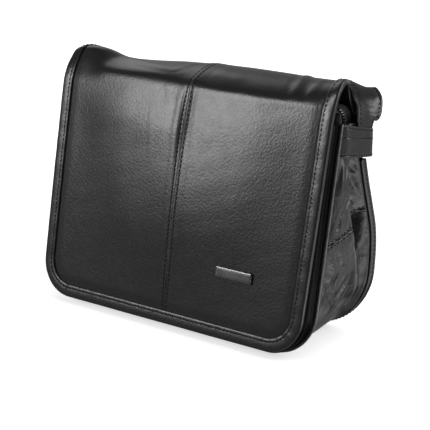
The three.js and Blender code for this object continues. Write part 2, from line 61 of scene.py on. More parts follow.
class Slot(Enum):
    """Material slots of the record."""

    SMOOTH = "smooth_leather"
    SOFT = "soft_leather"
    TAPE = "zip_tape"
    NICKEL = "nickel"


class Side(IntEnum):
    """The bag's two sides, as signs of X."""

    LEFT = -1
    RIGHT = 1

    @property
    def word(self) -> str:
        """The side's plain name."""
        return self.name.lower()


# Shape helpers


@dataclass(frozen=True)
class SmoothTable:
    """Named columns of values that follow smooth curves through rows at rising keys.

    Attributes:
        keys: Places of the rows.
        columns: Each column's value in every row.
    """

    keys: tuple[float, ...]
    columns: dict[str, tuple[float, ...]]

    def at(self, name: str, key: Grid) -> Grid:
        """Reads one column.

        Args:
            name: The column.
            key: Places along the table, held inside its ends.

        Returns:
            The column's values at those places.
        """
        keys, values = np.asarray(self.keys, float), np.asarray(self.columns[name], float)
        steps, rises = np.diff(keys), np.diff(values)
        inner = (rises[1:] + rises[:-1]) / (steps[1:] + steps[:-1])
        slopes = np.concatenate([rises[:1] / steps[:1], inner, rises[-1:] / steps[-1:]])
        place = np.clip(key, keys[0], keys[-1])
        high = np.clip(np.searchsorted(keys, place), 1, len(keys) - 1)
        low = high - 1
        t = (place - keys[low]) / steps[low]
        swing = t * (1 - t) ** 2 * slopes[low] - t * t * (1 - t) * slopes[high]
        return values[low] + rises[low] * t * t * (3 - 2 * t) + swing * steps[low]

    def read(self, key: Grid, *names: str) -> list[Grid]:
        """Reads several columns at the same places."""
        return [self.at(name, key) for name in names]


def rounded_route(points: Grid, t: Grid) -> Grid:
    """Follows centripetal curves through rows of points.

    Args:
        points: Routes, shaped (count, points, 3).
        t: One place from 0 to 1 on each route.

    Returns:
        The points there, shaped (count, 3).
    """
    count, stops = points.shape[:2]
    before = 2 * points[:, :1] - points[:, 1:2]
    after = 2 * points[:, -1:] - points[:, -2:-1]
    full = np.concatenate([before, points, after], axis=1)
    place = np.clip(t, 0, 1) * (stops - 1)
    leg = np.minimum(place.astype(int), stops - 2)
    w = (place - leg)[:, None]
    rows = np.arange(count)
    a, b, c, d = (full[rows, leg + k] for k in range(4))
    first, second, third = (
        np.sqrt(np.linalg.norm(q - p, axis=1, keepdims=True)) for p, q in ((a, b), (b, c), (c, d))
    )
    leave = ((b - a) / first - (c - a) / (first + second) + (c - b) / second) * second
    arrive = ((c - b) / second - (d - b) / (second + third) + (d - c) / third) * second
    square = (3 * (c - b) - 2 * leave - arrive) * w**2
    return b + leave * w + square + (2 * (b - c) + leave + arrive) * w**3


def stacked(*columns: Grid | float) -> Grid:
    """Spreads values to one shape and stacks them along a last axis."""
    return np.stack(np.broadcast_arrays(*columns), -1)


def unit(vectors: Grid) -> Grid:
    """Scales vectors in the last axis to length one."""
    return vectors / np.maximum(np.linalg.norm(vectors, axis=-1, keepdims=True), 1e-9)


def grid_normals(grid: Grid) -> Grid:
    """Gives the unit normals of a grid of points, across its columns by up its rows."""
    return unit(np.cross(np.gradient(grid, axis=1), np.gradient(grid, axis=0)))


def bell(distance: Grid, width: float) -> Grid:
    """A smooth bump that is one at no distance and fades over a width."""
    return np.exp(-((distance / width) ** 2))


def ramp(value: Grid, low: float, high: float) -> Grid:
    """Rises smoothly from 0 at low to 1 at high."""
    t = np.clip((value - low) / (high - low), 0, 1)
    return t * t * (3 - 2 * t)


def rounded_sides(half: float, edge: float, top: float, corner: float, steps: tuple[int, int, int]) -> Grid:
    """Sets stations down the left side of a rounded U, along its base and up its right side.

    Args:
        half: Half the width.
        edge: Height of the base.
        top: Height where the sides end.
        corner: Radius of the two corners.
        steps: Stations along half the base, round a corner and up a side.

    Returns:
        Stations in x and z.
    """
    base = np.linspace(0, half - corner, steps[0], endpoint=False)
    turn = np.linspace(0, QUARTER, steps[1] + 1)
    rises = np.linspace(edge + corner, top, steps[2] + 1)[1:]
    sine, cosine = np.sin(turn), np.cos(turn)
    rounded = stacked(half - corner + corner * sine, edge + corner - corner * cosine, sine, -cosine)
    right = np.concatenate([stacked(base, edge, 0, -1), rounded, stacked(half, rises, 1, 0)])
    return np.concatenate([right[:0:-1] * FLIP_ACROSS, right])


def beside(stations: Grid, out: Grid | float, y: Grid | float) -> Grid:
    """Gives points at distances out from stations in x and z, at given depths."""
    x, z, out_x, out_z = np.moveaxis(stations, -1, 0)
    return stacked(x + out_x * out, y, z + out_z * out)


@dataclass(frozen=True)
class Crease:
    """A fold line drawn on a surface, in that surface's own two measures.

    Attributes:
        start: Where the fold starts.
        end: Where it ends.
        width: Half the width of its hollow.
        depth: How deep it is; a ridge where negative.
        lip: Height of its raised sides, as a share of the depth.
    """

    start: tuple[float, float]
    end: tuple[float, float]
    width: float
    depth: float
    lip: float = 0.45

    def relief(self, u: Grid, v: Grid) -> Grid:
        """Gives the height of the fold over the surface, which fades to its ends.

        Args:
            u: First measure of the surface.
            v: Second measure.

        Returns:
            The heights.
        """
        du, dv = self.end[0] - self.start[0], self.end[1] - self.start[1]
        length = math.hypot(du, dv)
        along = ((u - self.start[0]) * du + (v - self.start[1]) * dv) / length**2
        aside = ((u - self.start[0]) * dv - (v - self.start[1]) * du) / length
        fade = ramp(along, -0.15, 0.25) * (1 - ramp(along, 0.7, 1.15))
        lip = self.lip * bell(np.abs(aside) - 1.9 * self.width, 0.8 * self.width)
        return self.depth * fade * (lip - bell(aside, self.width))


def crease_relief(creases: Iterable[Crease], u: Grid, v: Grid) -> Grid:
    """Adds up the heights of several creases."""
    return sum((crease.relief(u, v) for crease in creases), np.zeros(np.broadcast(u, v).shape))


def swells(u: Grid, v: Grid, size: float, seed: int) -> Grid:
    """A soft uneven surface from a few crossing waves, about one high.

    Args:
        u: First measure of the surface.
        v: Second measure.
        size: Length of the longest waves.
        seed: Which set of waves.

    Returns:
        The heights.
    """
    chance = np.random.default_rng(seed)
    total = np.zeros(np.broadcast(u, v).shape)
    for k in range(7):
        angle, phase = chance.uniform(0, 2 * math.pi, 2)
        wave = size / chance.uniform(0.8, 2.6)
        total += np.sin((u * math.cos(angle) + v * math.sin(angle)) * 2 * math.pi / wave + phase) / (1.5 + k)
    return total / 1.6


# Mesh helpers


def add_object(name: str, data: bpy.types.ID) -> bpy.types.Object:
    """Puts an object into the scene.

    Args:
        name: The object's name.
        data: Its mesh, lamp or camera.

    Returns:
        The object.
    """
    added = bpy.data.objects.new(name, data)
    bpy.context.scene.collection.objects.link(added)
    return added


def new_piece(name: str, points: Grid, faces: Sequence[Sequence[int]]) -> bpy.types.Object:
    """Makes a smooth mesh object at the origin.

    Args:
        name: The piece's name.
        points: Its points in millimetres, shaped (count, 3).
        faces: Point numbers of each face.

    Returns:
        The new object.
    """
    mesh = bpy.data.meshes.new(name)
    mesh.from_pydata((points * MM).tolist(), [], faces)
    mesh.validate()
    mesh.shade_smooth()
    return add_object(name, mesh)


def closed_piece(name: str, points: Grid, faces: list[list[int]]) -> bpy.types.Object:
    """Makes a closed piece and turns its faces outwards, by the sign of the volume inside them.

    Args:
        name: The piece's name.
        points: Its points in millimetres.
        faces: Point numbers of each face.

    Returns:
        The piece.
    """
    fans = np.array([(face[0], b, c) for face in faces for b, c in zip(face[1:-1], face[2:])])
    a, b, c = (points[fans[:, k]] for k in range(3))
    if np.sum(a * np.cross(b, c)) < 0:
        faces = [face[::-1] for face in faces]
    return new_piece(name, points, faces)


def quads(a: Grid, b: Grid, c: Grid, d: Grid) -> list[list[int]]:
    """Gives a face for each place in four equal arrays of point numbers."""
    return np.stack([a, b, c, d], -1).reshape(-1, 4).tolist()


def sheet_piece(name: str, outer: Grid, thickness: float, normals: Grid | None = None) -> bpy.types.Object:
    """Makes a leather sheet from a grid of points on its outer face.

    Args:
        name: The piece's name.
        outer: Points of the outer face, shaped (rows, columns, 3).
        thickness: The leather's thickness.
        normals: The way the thickness runs, if not from the grid itself.

    Returns:
        The closed piece.
    """
    rows, columns = outer.shape[:2]
    normals = grid_normals(outer) if normals is None else normals
    round_over = 0.3 * thickness
    rim = np.zeros((rows, columns, 1))
    rim[[0, -1], :] = 1
    rim[:, [0, -1]] = 1
    top = outer - normals * rim * round_over
    low = outer - normals * (thickness - rim * round_over)
    number = np.arange(rows * columns).reshape(rows, columns)
    under = number + rows * columns
    faces = quads(number[:-1, :-1], number[:-1, 1:], number[1:, 1:], number[1:, :-1])
    faces += quads(under[:-1, :-1], under[1:, :-1], under[1:, 1:], under[:-1, 1:])
    ring = np.concatenate([number[0], number[1:, -1], number[-1, -2::-1], number[-2:0:-1, 0]])
    after = np.roll(ring, -1)
    faces += quads(after, ring, ring + under[0, 0], after + under[0, 0])
    return closed_piece(name, np.concatenate([top.reshape(-1, 3), low.reshape(-1, 3)]), faces)


def band_piece(name: str, rings: Grid) -> bpy.types.Object:
    """Makes a band from rings of points, each one copy of the same closed section.

    Args:
        name: The piece's name.
        rings: Points shaped (rings, section points, 3).

    Returns:
        The piece, closed at both ends.
    """
    count, size = rings.shape[:2]
    points = np.concatenate([rings.reshape(-1, 3), rings[[0, -1]].mean(axis=1)])
    number = np.arange(count * size).reshape(count, size)
    turned = np.roll(number, -1, axis=1)
    faces = quads(number[:-1], turned[:-1], turned[1:], number[1:])
    faces += [[b, a, count * size] for a, b in zip(number[0].tolist(), turned[0].tolist())]
    faces += [[count * size + 1, a, b] for a, b in zip(number[-1].tolist(), turned[-1].tolist())]
    return closed_piece(name, points, faces)


def mark(piece: bpy.types.Object, name: str, values: Grid) -> None:
    """Stores one number for each point of a piece, for its material to read.

    Args:
        piece: The piece.
        name: The attribute's name.
        values: As many numbers as the piece has points; missing ones at the end are 0.
    """
    full = np.zeros(len(piece.data.vertices), np.float32)
    full[: np.size(values)] = np.ravel(values)
    piece.data.attributes.new(name, "FLOAT", "POINT").data.foreach_set("value", full)


def dress(piece: bpy.types.Object, finish: bpy.types.Material) -> None:
    """Gives a piece one material."""
    piece.data.materials.clear()
    piece.data.materials.append(finish)


def settle(piece: bpy.types.Object, slot: Slot, finish: bpy.types.Material, *nodes: str) -> bpy.types.Object:
    """Dresses a piece, lets it ride on the bag and hides the solids that it stands for.

    Args:
        piece: The finished piece.
        slot: The record's material slot; not used.
        finish: Its material.
        nodes: Names of the solids that it replaces.

    Returns:
        The piece.
    """
    dress(piece, finish)
    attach(piece, ROOT)
    if nodes:
        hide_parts(*nodes)
    log.info("%s: %d faces", piece.name, len(piece.data.polygons))
    return piece


# Shader maths


class Shade:
    """A node's output that takes part in Python arithmetic, adding Math nodes as it goes."""

    def __init__(self, nodes: "Nodes", socket: bpy.types.NodeSocket) -> None:
        """Keeps the output and the tree that it belongs to."""
        self.nodes = nodes
        self.socket = socket

    def beside(self, name: str) -> "Shade":
        """Another output of the same node."""
        return Shade(self.nodes, self.socket.node.outputs[name])

    def _with(self, operation: str, first: object, second: object = 0.0) -> "Shade":
        """Adds one Math node for two values and gives its result."""
        return self.nodes.add("ShaderNodeMath", {"operation": operation}, {0: first, 1: second})

    def __add__(self, other: object) -> "Shade":
        """Sum."""
        return self._with("ADD", self, other)

    def __sub__(self, other: object) -> "Shade":
        """Difference."""
        return self._with("SUBTRACT", self, other)

    def __rsub__(self, other: object) -> "Shade":
        """Difference from a number in front."""
        return self._with("SUBTRACT", other, self)

    def __mul__(self, other: object) -> "Shade":
        """Product."""
        return self._with("MULTIPLY", self, other)

    def __abs__(self) -> "Shade":
        """Size without sign."""
        return self._with("ABSOLUTE", self)

    __radd__ = __add__
    __rmul__ = __mul__

    def sine(self) -> "Shade":
        """Sine of the value."""
        return self._with("SINE", self)

    def ramp(self, low: float, high: float) -> "Shade":
        """Rises smoothly from 0 at low to 1 at high."""
        inputs = {"Value": self, "From Min": low, "From Max": high}
        return self.nodes.add("ShaderNodeMapRange", {"interpolation_type": "SMOOTHSTEP"}, inputs)


class Nodes:
    """A node tree, with one way to add any node."""

    def __init__(self, tree: bpy.types.NodeTree) -> None:
        """Keeps Blender's own tree."""
        self.tree = tree

    def add(
        self,
        kind: str,
        settings: dict[str, object] | None = None,
        inputs: dict[str | int, object] | None = None,
        result: str | int = 0,
    ) -> Shade:
        """Adds a node.

        Args:
            kind: The node's type.
            settings: Properties, set before its sockets are used.
            inputs: Values or other results for its sockets.
            result: Which output to give back.

        Returns:
            That output.
        """
        added = self.tree.nodes.new(kind)
        for key, value in (settings or {}).items():
            setattr(added, key, value)
        for key, value in (inputs or {}).items():
            self.feed(added.inputs[key], value)
        return Shade(self, added.outputs[result])

    def feed(self, socket: bpy.types.NodeSocket, value: object) -> None:
        """Links a result to a socket, or sets the socket's own value.

        Args:
            socket: The socket.
            value: A result or a plain value.
        """
        if isinstance(value, Shade):
            self.tree.links.new(value.socket, socket)
        else:
            socket.default_value = value


class Recipe(Nodes):
    """A material's nodes."""

    def __init__(self, name: str) -> None:
        """Starts an empty material with its output and main shader.

        Args:
            name: The material's name.
        """
        self.material = bpy.data.materials.new(name)
        self.material.use_nodes = True
        super().__init__(self.material.node_tree)
        self.tree.nodes.clear()
        output = self.tree.nodes.new("ShaderNodeOutputMaterial")
        self.shader = self.tree.nodes.new("ShaderNodeBsdfPrincipled")
        self.tree.links.new(self.shader.outputs["BSDF"], output.inputs["Surface"])

    def shade_with(self, **inputs: object) -> bpy.types.Material:
        """Feeds the main shader's sockets.

        Args:
            inputs: Values or results by socket, named with underscores for spaces.

        Returns:
            The finished material.
        """
        for key, value in inputs.items():
            self.feed(self.shader.inputs[key.replace("_", " ")], value)
        return self.material

    def place(self) -> Shade:
        """The surface's place in the bag's own frame."""
        return self.add("ShaderNodeTexCoord", result="Object")

    def marked(self, name: str) -> Shade:
        """A number stored on the piece's points."""
        return self.add("ShaderNodeAttribute", {"attribute_name": name}, result="Fac")

    def noise(self, at: Shade, size: float, detail: float = 3.0, roughness: float = 0.5) -> Shade:
        """Even noise from 0 to 1 with lumps of a size in metres."""
        inputs = {"Vector": at, "Scale": 1 / size, "Detail": detail, "Roughness": roughness}
        return self.add("ShaderNodeTexNoise", {}, inputs, "Fac")

    def cells(self, at: Shade, size: float) -> Shade:
        """Distances in a field of softly joined cells of a size in metres."""
        inputs = {"Vector": at, "Scale": 1 / size}
        return self.add("ShaderNodeTexVoronoi", {"feature": "SMOOTH_F1"}, inputs, "Distance")

    def mix(self, share: Shade, low: float, high: float, warmth: float = 0.0) -> Shade:
        """Mixes two greys by a share, the first a little cooler and the second warmer."""
        inputs = {0: share, 6: colour(low, -warmth), 7: colour(high, warmth)}
        return self.add("ShaderNodeMix", {"data_type": "RGBA"}, inputs, 2)

    def bump(self, height: Shade, depth: float, **under: Shade) -> Shade:
        """Raises the surface, or the Normal under it, by a height from 0 to 1 times a depth in metres."""
        inputs = {"Height": height, "Distance": depth, "Strength": 1.0, **under}
        return self.add("ShaderNodeBump", {}, inputs, "Normal")


def colour(value: float, warmth: float = 0.0) -> tuple[float, float, float, float]:
    """A grey, a little warmer or cooler, as a shader colour."""
    return (value * (1 + warmth), value, value * (1 - warmth), 1.0)


# Finishes


@dataclass(frozen=True)
class LeatherFinish:
    """Black dyed leather with a fine grain, faint creases and a painted highlight on edges, seams, piping and
    ridges.

    Attributes:
        name: The material's name.
        dye: Brightness of the dyed face.
        rubbed: Brightness of the painted highlight on edges, seams, piping and ridges.
        gloss_roughness: Roughness of the polished face.
        grain: Size of the grain's pebbles.
        grain_depth: Depth of the grain.
        wrinkle: Spacing of the faint wrinkles.
        wrinkle_depth: Depth of the wrinkles.
        polish: Weight of the clear top coat.
        coat_roughness: Roughness of that coat.
        shine: Strength of its reflections.
    """

    name: str
    dye: float = 0.008
    rubbed: float = 0.1
    gloss_roughness: float = 0.3
    grain: float = 0.0019
    grain_depth: float = 0.00009
    wrinkle: float = 0.012
    wrinkle_depth: float = 0.00001
    polish: float = 0.06
    coat_roughness: float = 0.28
    shine: float = 0.5

    def material(self) -> bpy.types.Material:
        """Builds the material.

        Returns:
            The material.
        """
        recipe = Recipe(self.name)
        at = recipe.place()
        patches = recipe.noise(at, 0.06, 2.0)
        mottle = recipe.noise(at, 0.006, 4.0, 0.6)
        wrinkles = abs(recipe.noise(at, self.wrinkle, 3.0, 0.55) - 0.5) * 2.0
        # Painted highlight: marked edges, seam ridge, crease ridges and piping turn lighter, broken up by
        # mottle.
        painted_highlights = (recipe.marked("rub") * (0.45 + 0.9 * mottle)).ramp(0.15, 0.95)
        creased = recipe.bump(wrinkles.ramp(0.0, 0.5), self.wrinkle_depth)
        return recipe.shade_with(
            Base_Color=recipe.mix(painted_highlights, self.dye, self.rubbed, 0.02),
            Roughness=self.gloss_roughness + 0.08 * (patches - 0.5) + 0.1 * (mottle - 0.5) + 0.06 * painted_highlights,
            Coat_Weight=self.polish * (0.6 + 0.8 * patches),
            Coat_Roughness=self.coat_roughness,
            Specular_IOR_Level=self.shine,
            Normal=recipe.bump(1.0 - recipe.cells(at, self.grain), self.grain_depth, Normal=creased),
        )


@dataclass(frozen=True)
class ThreadFinish:
    """Waxed black sewing thread.

    Attributes:
        name: The material's name.
        shade: Brightness of the thread.
        twist: Spacing of its plies.
        ply_depth: Depth between the plies.
        shine: Strength of its reflections.
    """

    name: str = "waxed_thread"
    shade: float = 0.008
    twist: float = 0.0007
    ply_depth: float = 0.00012
    shine: float = 0.2

    def material(self) -> bpy.types.Material:
        """Builds the material.

        Returns:
            The material.
        """
        recipe = Recipe(self.name)
        at = recipe.place()
        plies = recipe.noise(at, self.twist, 1.0)
        uneven = recipe.noise(at, 0.004, 2.0)
        return recipe.shade_with(
            Base_Color=recipe.mix(uneven, self.shade * 0.6, self.shade * 1.5),
            Roughness=0.6 + 0.2 * plies,
            Specular_IOR_Level=self.shine,
            Normal=recipe.bump(plies, self.ply_depth),
        )


@dataclass(frozen=True)
class NickelFinish:
    """Dark plated metal with fine brushing and light scuffs.

    Attributes:
        name: The material's name.
        shade: Brightness of the plating.
        roughness: Roughness of the plating.
        brush: Spacing of the brush lines.
        brush_depth: Depth of those lines.
        stretch: How far the lines are drawn out along X.
    """

    name: str
    shade: float = 0.16
    roughness: float = 0.3
    brush: float = 0.0004
    brush_depth: float = 0.000004
    stretch: Place = (0.03, 1.0, 1.0)

    def material(self) -> bpy.types.Material:
        """Builds the material.

        Returns:
            The material.
        """
        recipe = Recipe(self.name)
        at = recipe.place()
        squeezed = recipe.add("ShaderNodeMapping", {}, {"Vector": at, "Scale": self.stretch})
        lines = recipe.noise(squeezed, self.brush, 2.0)
        scuffs = recipe.noise(at, 0.014, 2.0, 0.5)
        return recipe.shade_with(
            Base_Color=recipe.mix(scuffs, self.shade * 0.75, self.shade * 1.2),
            Roughness=self.roughness + 0.06 * (lines - 0.5) + 0.12 * (scuffs - 0.5),
            Metallic=1.0,
            Normal=recipe.bump(lines, self.brush_depth),
        )


@dataclass(frozen=True)
class TapeFinish:
    """Woven black zip tape with a fine rib.

    Attributes:
        name: The material's name.
        rib: Spacing of the ribs.
        rib_depth: Depth of the weave.
        shades: Brightness of the weave's hollows and of its threads.
    """

    name: str = "woven_tape"
    rib: float = 0.0009
    rib_depth: float = 0.00015
    shades: tuple[float, float] = (0.006, 0.03)

    def material(self) -> bpy.types.Material:
        """Builds the material.

        Returns:
            The material.
        """
        recipe = Recipe(self.name)
        at = recipe.place()
        x = recipe.add("ShaderNodeSeparateXYZ", {}, {0: at})
        turns = 2 * math.pi / self.rib
        warp = (x.beside("Y") * turns).sine()
        weft = ((x + x.beside("Z")) * turns).sine()
        weave = 0.5 + 0.25 * warp + 0.25 * weft
        fuzz = recipe.noise(at, 0.0015, 3.0)
        return recipe.shade_with(
            Base_Color=recipe.mix(weave * 0.6 + fuzz * 0.4, *self.shades),
            Roughness=0.75 + 0.15 * fuzz,
            Normal=recipe.bump(weave, self.rib_depth),
        )


# Repeated details


class Pattern(Nodes):
    """A Geometry Nodes tree that sets copies of a small shape along lines, with named sizes."""

    def __init__(self, name: str, sizes: dict[str, float]) -> None:
        """Starts the tree.

        Args:
            name: The tree's name.
            sizes: Names and usual values of its inputs, in metres.
        """
        super().__init__(bpy.data.node_groups.new(name, "GeometryNodeTree"))
        face = self.tree.interface
        face.new_socket("Lines", in_out="INPUT", socket_type="NodeSocketGeometry")
        self.keys: dict[str, str] = {}
        for key, value in sizes.items():
            socket = face.new_socket(key, in_out="INPUT", socket_type="NodeSocketFloat")
            socket.default_value = value
            self.keys[key] = socket.identifier
        finish = face.new_socket("Finish", in_out="INPUT", socket_type="NodeSocketMaterial")
        self.keys["Finish"] = finish.identifier
        face.new_socket("Copies", in_out="OUTPUT", socket_type="NodeSocketGeometry")
        self.start = self.tree.nodes.new("NodeGroupInput")

    def size(self, name: str) -> Shade:
        """One of the tree's inputs, inside the tree."""
        return Shade(self, self.start.outputs[name])

    def sizes(self, *names: str) -> Shade:
        """A vector of three of the tree's inputs."""
        return self.add("ShaderNodeCombineXYZ", {}, dict(zip("XYZ", map(self.size, names))))

    def along_lines(self, shape: Shade, upright: bool = False) -> "Pattern":
        """Sets copies of a shape along the lines, a pitch apart, and ends the tree.

        Args:
            shape: The small shape, with its length along Z.
            upright: Whether its Y side keeps to the bag's Y.

        Returns:
            The finished pattern.
        """
        curve = self.add("GeometryNodeMeshToCurve", {}, {"Mesh": self.size("Lines")})
        inputs = {"Curve": curve, "Length": self.size("Pitch")}
        spots = self.add("GeometryNodeCurveToPoints", {"mode": "LENGTH"}, inputs, "Points")
        align = "FunctionNodeAlignRotationToVector"
        turn = self.add(align, {"axis": "Z"}, {"Vector": spots.beside("Tangent")})
        if upright:
            inputs = {"Rotation": turn, "Vector": (0.0, 1.0, 0.0)}
            turn = self.add(align, {"axis": "Y", "pivot_axis": "Z"}, inputs)
        inputs = {"Points": spots, "Instance": shape, "Rotation": turn}
        copies = self.add("GeometryNodeInstanceOnPoints", {}, inputs)
        real = self.add("GeometryNodeRealizeInstances", {}, {"Geometry": copies})
        dressed = self.add("GeometryNodeSetMaterial", {}, {"Geometry": real, "Material": self.size("Finish")})
        self.feed(self.tree.nodes.new("NodeGroupOutput").inputs["Copies"], dressed)
        return self

    def run(
        self, name: str, lines: Sequence[Grid], finish: bpy.types.Material, **sizes: float
    ) -> bpy.types.Object:
        """Makes one plain mesh of copies along some lines.

        Args:
            name: The new piece's name.
            lines: Each line's points in millimetres, shaped (count, 3).
            finish: The copies' material.
            sizes: Inputs of the tree, in millimetres.

        Returns:
            The new piece.
        """
        edges, start = [], 0
        for line in lines:
            edges += [(start + k, start + k + 1) for k in range(len(line) - 1)]
            start += len(line)
        path = bpy.data.meshes.new(name + "_lines")
        path.from_pydata((np.concatenate(lines) * MM).tolist(), edges, [])
        carrier = add_object(name + "_lines", path)
        modifier = carrier.modifiers.new(self.tree.name, "NODES")
        modifier.node_group = self.tree
        modifier[self.keys["Finish"]] = finish
        for key, value in sizes.items():
            modifier[self.keys[key]] = value * MM
        bpy.context.view_layer.update()
        ready = carrier.evaluated_get(bpy.context.evaluated_depsgraph_get())
        mesh = bpy.data.meshes.new_from_object(ready)
        carrier.modifiers.remove(modifier)
        bpy.data.objects.remove(carrier)
        mesh.name = name
        mesh.shade_smooth()
        return add_object(name, mesh)


def stitch_pattern() -> Pattern:
    """Builds the tree for sewing stitches: plump rods a little shorter than their pitch.

    Returns:
        The pattern.
    """
    pattern = Pattern("stitch_rows", {"Pitch": 0.004, "Length": 0.003, "Width": 0.001})
    rod = pattern.add("GeometryNodeMeshUVSphere", {}, {"Segments": 8, "Rings": 6, "Radius": 0.5})
    inputs = {"Geometry": rod, "Scale": pattern.sizes("Width", "Width", "Length")}
    return pattern.along_lines(pattern.add("GeometryNodeTransform", {}, inputs))


def tooth_pattern() -> Pattern:
    """Builds the tree for zip teeth: small blocks set square to the tape.

    Returns:
        The pattern.
    """
    pattern = Pattern("zip_teeth", {"Pitch": 0.002, "Length": 0.001, "Reach": 0.003, "Height": 0.002})
    block = pattern.add("GeometryNodeMeshCube", {}, {"Size": pattern.sizes("Height", "Reach", "Length")})
    return pattern.along_lines(block, upright=True)


# The bag's form


@dataclass(frozen=True)
class Form:
    """Planes and curves that the bag's pieces share, in millimetres.

    Attributes:
        foot: Place of the flap's foot in Y and Z.
        lean: How far the flap leans back, in degrees.
        straight: Length of the flap's flat front.
        over: Length of its turn over the top.
        shoulder: Height of the fold at the front, its swell and the depth share of the rise, by x.
        lead: How far below the fold its curve starts.
        ease: How far the top of the front already turns back, and over what length.
        hip: Height of the fold at the back.
        rise: How far up the front of the dome a stop lies, as a share of its height.
        fall: The same down its back, in depth and height.
        puff: How far the middle of the flap's face stands out.
        puff_half: Half the width of that swell.
        lap: Height of the lap's end and how far it stands off the back.
        half_width: Half the body's width.
        front_corner: Radius of the body's lower corners at the front.
        back_corner: The same at the back.
        edge_z: Height of the body's lower edge.
        pocket_depth: From the flap to the seam behind the pocket.
        steps: Stations along half the body's base, round a corner and up a side.
        crest: Depth and height of the dome's crest, by x.
        back_line: Depth of the back's outer face, by height.
    """

    foot: tuple[float, float] = (-62.0, 6.0)
    lean: float = 11.5
    straight: float = 200.0
    over: float = 96.0
    shoulder: SmoothTable = SmoothTable(
        (-150, -120, -98, -40, 10, 150),
        {
            "z": (211, 211.5, 214, 214.5, 213, 212.5),
            "swell": (2.6, 2.4, 1.5, 1.4, 1.4, 1.4),
            "share": (0.5, 0.48, 0.28, 0.22, 0.33, 0.35),
        },
    )
    lead: float = 30.0
    ease: tuple[float, float] = (0.25, 14.0)
    hip: float = 207.0
    rise: float = 0.62
    fall: tuple[float, float] = (0.72, 0.3)
    puff: float = 3.4
    puff_half: float = 150.0
    lap: tuple[float, float] = (190.0, 3.0)
    half_width: float = 147.0
    front_corner: float = 36.0
    back_corner: float = 50.0
    edge_z: float = 4.0
    pocket_depth: float = 15.5
    steps: tuple[int, int, int] = (24, 14, 60)
    crest: SmoothTable = SmoothTable(
        (-150, -136, -118, -102, -75, -20, 35, 90, 128, 150),
        {
            "y": (-2, -2, 0, 8, 14, 17, 17, 15, 6, -5),
            "z": (227, 231, 229.5, 223.5, 222.5, 225.5, 226.5, 226.5, 228, 232),
        },
    )
    back_line: SmoothTable = SmoothTable(
        (0, 22, 50, 74, 96, 118, 140, 164, 190, 215),
        {"y": (40, 44.5, 50.5, 53, 51.5, 45, 38, 31.5, 25.5, 21)},
    )

    def flap_y(self, z: Grid) -> Grid:
        """Depth of the flap's outer face by height."""
        return self.foot[0] + (z - self.foot[1]) * math.tan(math.radians(self.lean))

    def seam_y(self, z: Grid) -> Grid:
        """Depth of the seam between the pocket and the main compartment by height."""
        return self.flap_y(z) + self.pocket_depth

    def back_y(self, z: Grid) -> Grid:
        """Depth of the back's outer face by height."""
        return self.back_line.at("y", z)

    def flap_point(self, x: Grid, way: Grid) -> Grid:
        """Gives points of the flap's outer face.

        Args:
            x: Places across the bag.
            way: Distances up from the foot, over the top and down the back.

        Returns:
            The points, with a last axis of three.
        """
        x, way = np.broadcast_arrays(np.asarray(x, float), np.asarray(way, float))
        flat_x, flat_way = x.ravel(), way.ravel()
        sine, cosine = math.sin(math.radians(self.lean)), math.cos(math.radians(self.lean))

        def front(at: Grid | float, out: Grid | float = 0.0) -> Grid:
            """A stop on the leaning front, moved out by a distance."""
            y = self.foot[0] + at * sine - out * cosine
            return stacked(flat_x, y, self.foot[1] + at * cosine + out * sine)

        def between(low: Grid, high: Grid, deep: Grid | float, up: float) -> Grid:
            """A stop between two others, by its shares in depth and height."""
            return low + (high - low) * stacked(0 * flat_x, deep, up)

        fold_z, swell, share = self.shoulder.read(flat_x, "z", "swell", "share")
        shoulder = stacked(flat_x, self.flap_y(fold_z) + swell, fold_z)
        crest = stacked(flat_x, *self.crest.read(flat_x, "y", "z"))
        hip = stacked(flat_x, self.back_y(self.hip) + self.lap[1], self.hip)
        stops = [
            front(self.straight - self.lead),
            front(self.straight, -self.ease[0]),
            shoulder,
            between(shoulder, crest, share, self.rise),
            crest,
            between(crest, hip, *self.fall),
            hip,
            stacked(flat_x, self.back_y(self.lap[0]) + self.lap[1], self.lap[0]),
        ]
        upright = np.sin(math.pi * np.clip(flat_way / self.straight, 0, 1)) ** 2
        puffed = self.puff * upright * np.cos(QUARTER * np.clip(flat_x / self.puff_half, -1, 1)) ** 2
        turned = np.clip((flat_way - self.straight) / self.ease[1] + 1, 0, 1) ** 2
        rising = front(flat_way, puffed - self.ease[0] * turned)
        start = 1 / (len(stops) - 1)
        t = start + (1 - start) * (flat_way - self.straight) / self.over
        folded = rounded_route(np.stack(stops, axis=1), t)
        points = np.where((flat_way <= self.straight)[:, None], rising, folded)
        return points.reshape(*x.shape, 3)

    def flap_normal(self, x: Grid, way: Grid) -> Grid:
        """Gives the outward normals of the flap's face.

        Args:
            x: Places across the bag.
            way: Distances up from the foot.

        Returns:
            Unit vectors at those places.
        """
        step = 0.5
        across = self.flap_point(x + step, way) - self.flap_point(x - step, way)
        top = np.minimum(way + step, self.straight + self.over)
        return unit(np.cross(across, self.flap_point(x, top) - self.flap_point(x, way - step)))

    def outline(self, top: float, corner: float, inset: float = 0.0) -> Grid:
        """Stations down the body's left side, round its base and up its right side, up to a height."""
        return rounded_sides(self.half_width - inset, self.edge_z + inset, top, corner - inset, self.steps)

    def wall(self, top: float, corner: float, inset: float, shares: Grid) -> tuple[Grid, Grid]:
        """Spreads a flat wall inside the body's outline.

        Args:
            top: Height of the wall.
            corner: Radius of the outline's corners.
            inset: From the outline to the wall's edge.
            shares: Places across it, from -1 to 1.

        Returns:
            Its x by row and share, and its z by row.
        """
        stations = self.outline(top, corner, inset)
        rows = stations[len(stations) // 2 + self.steps[0] :]
        return rows[:, :1] * shares, rows[:, 1:2]


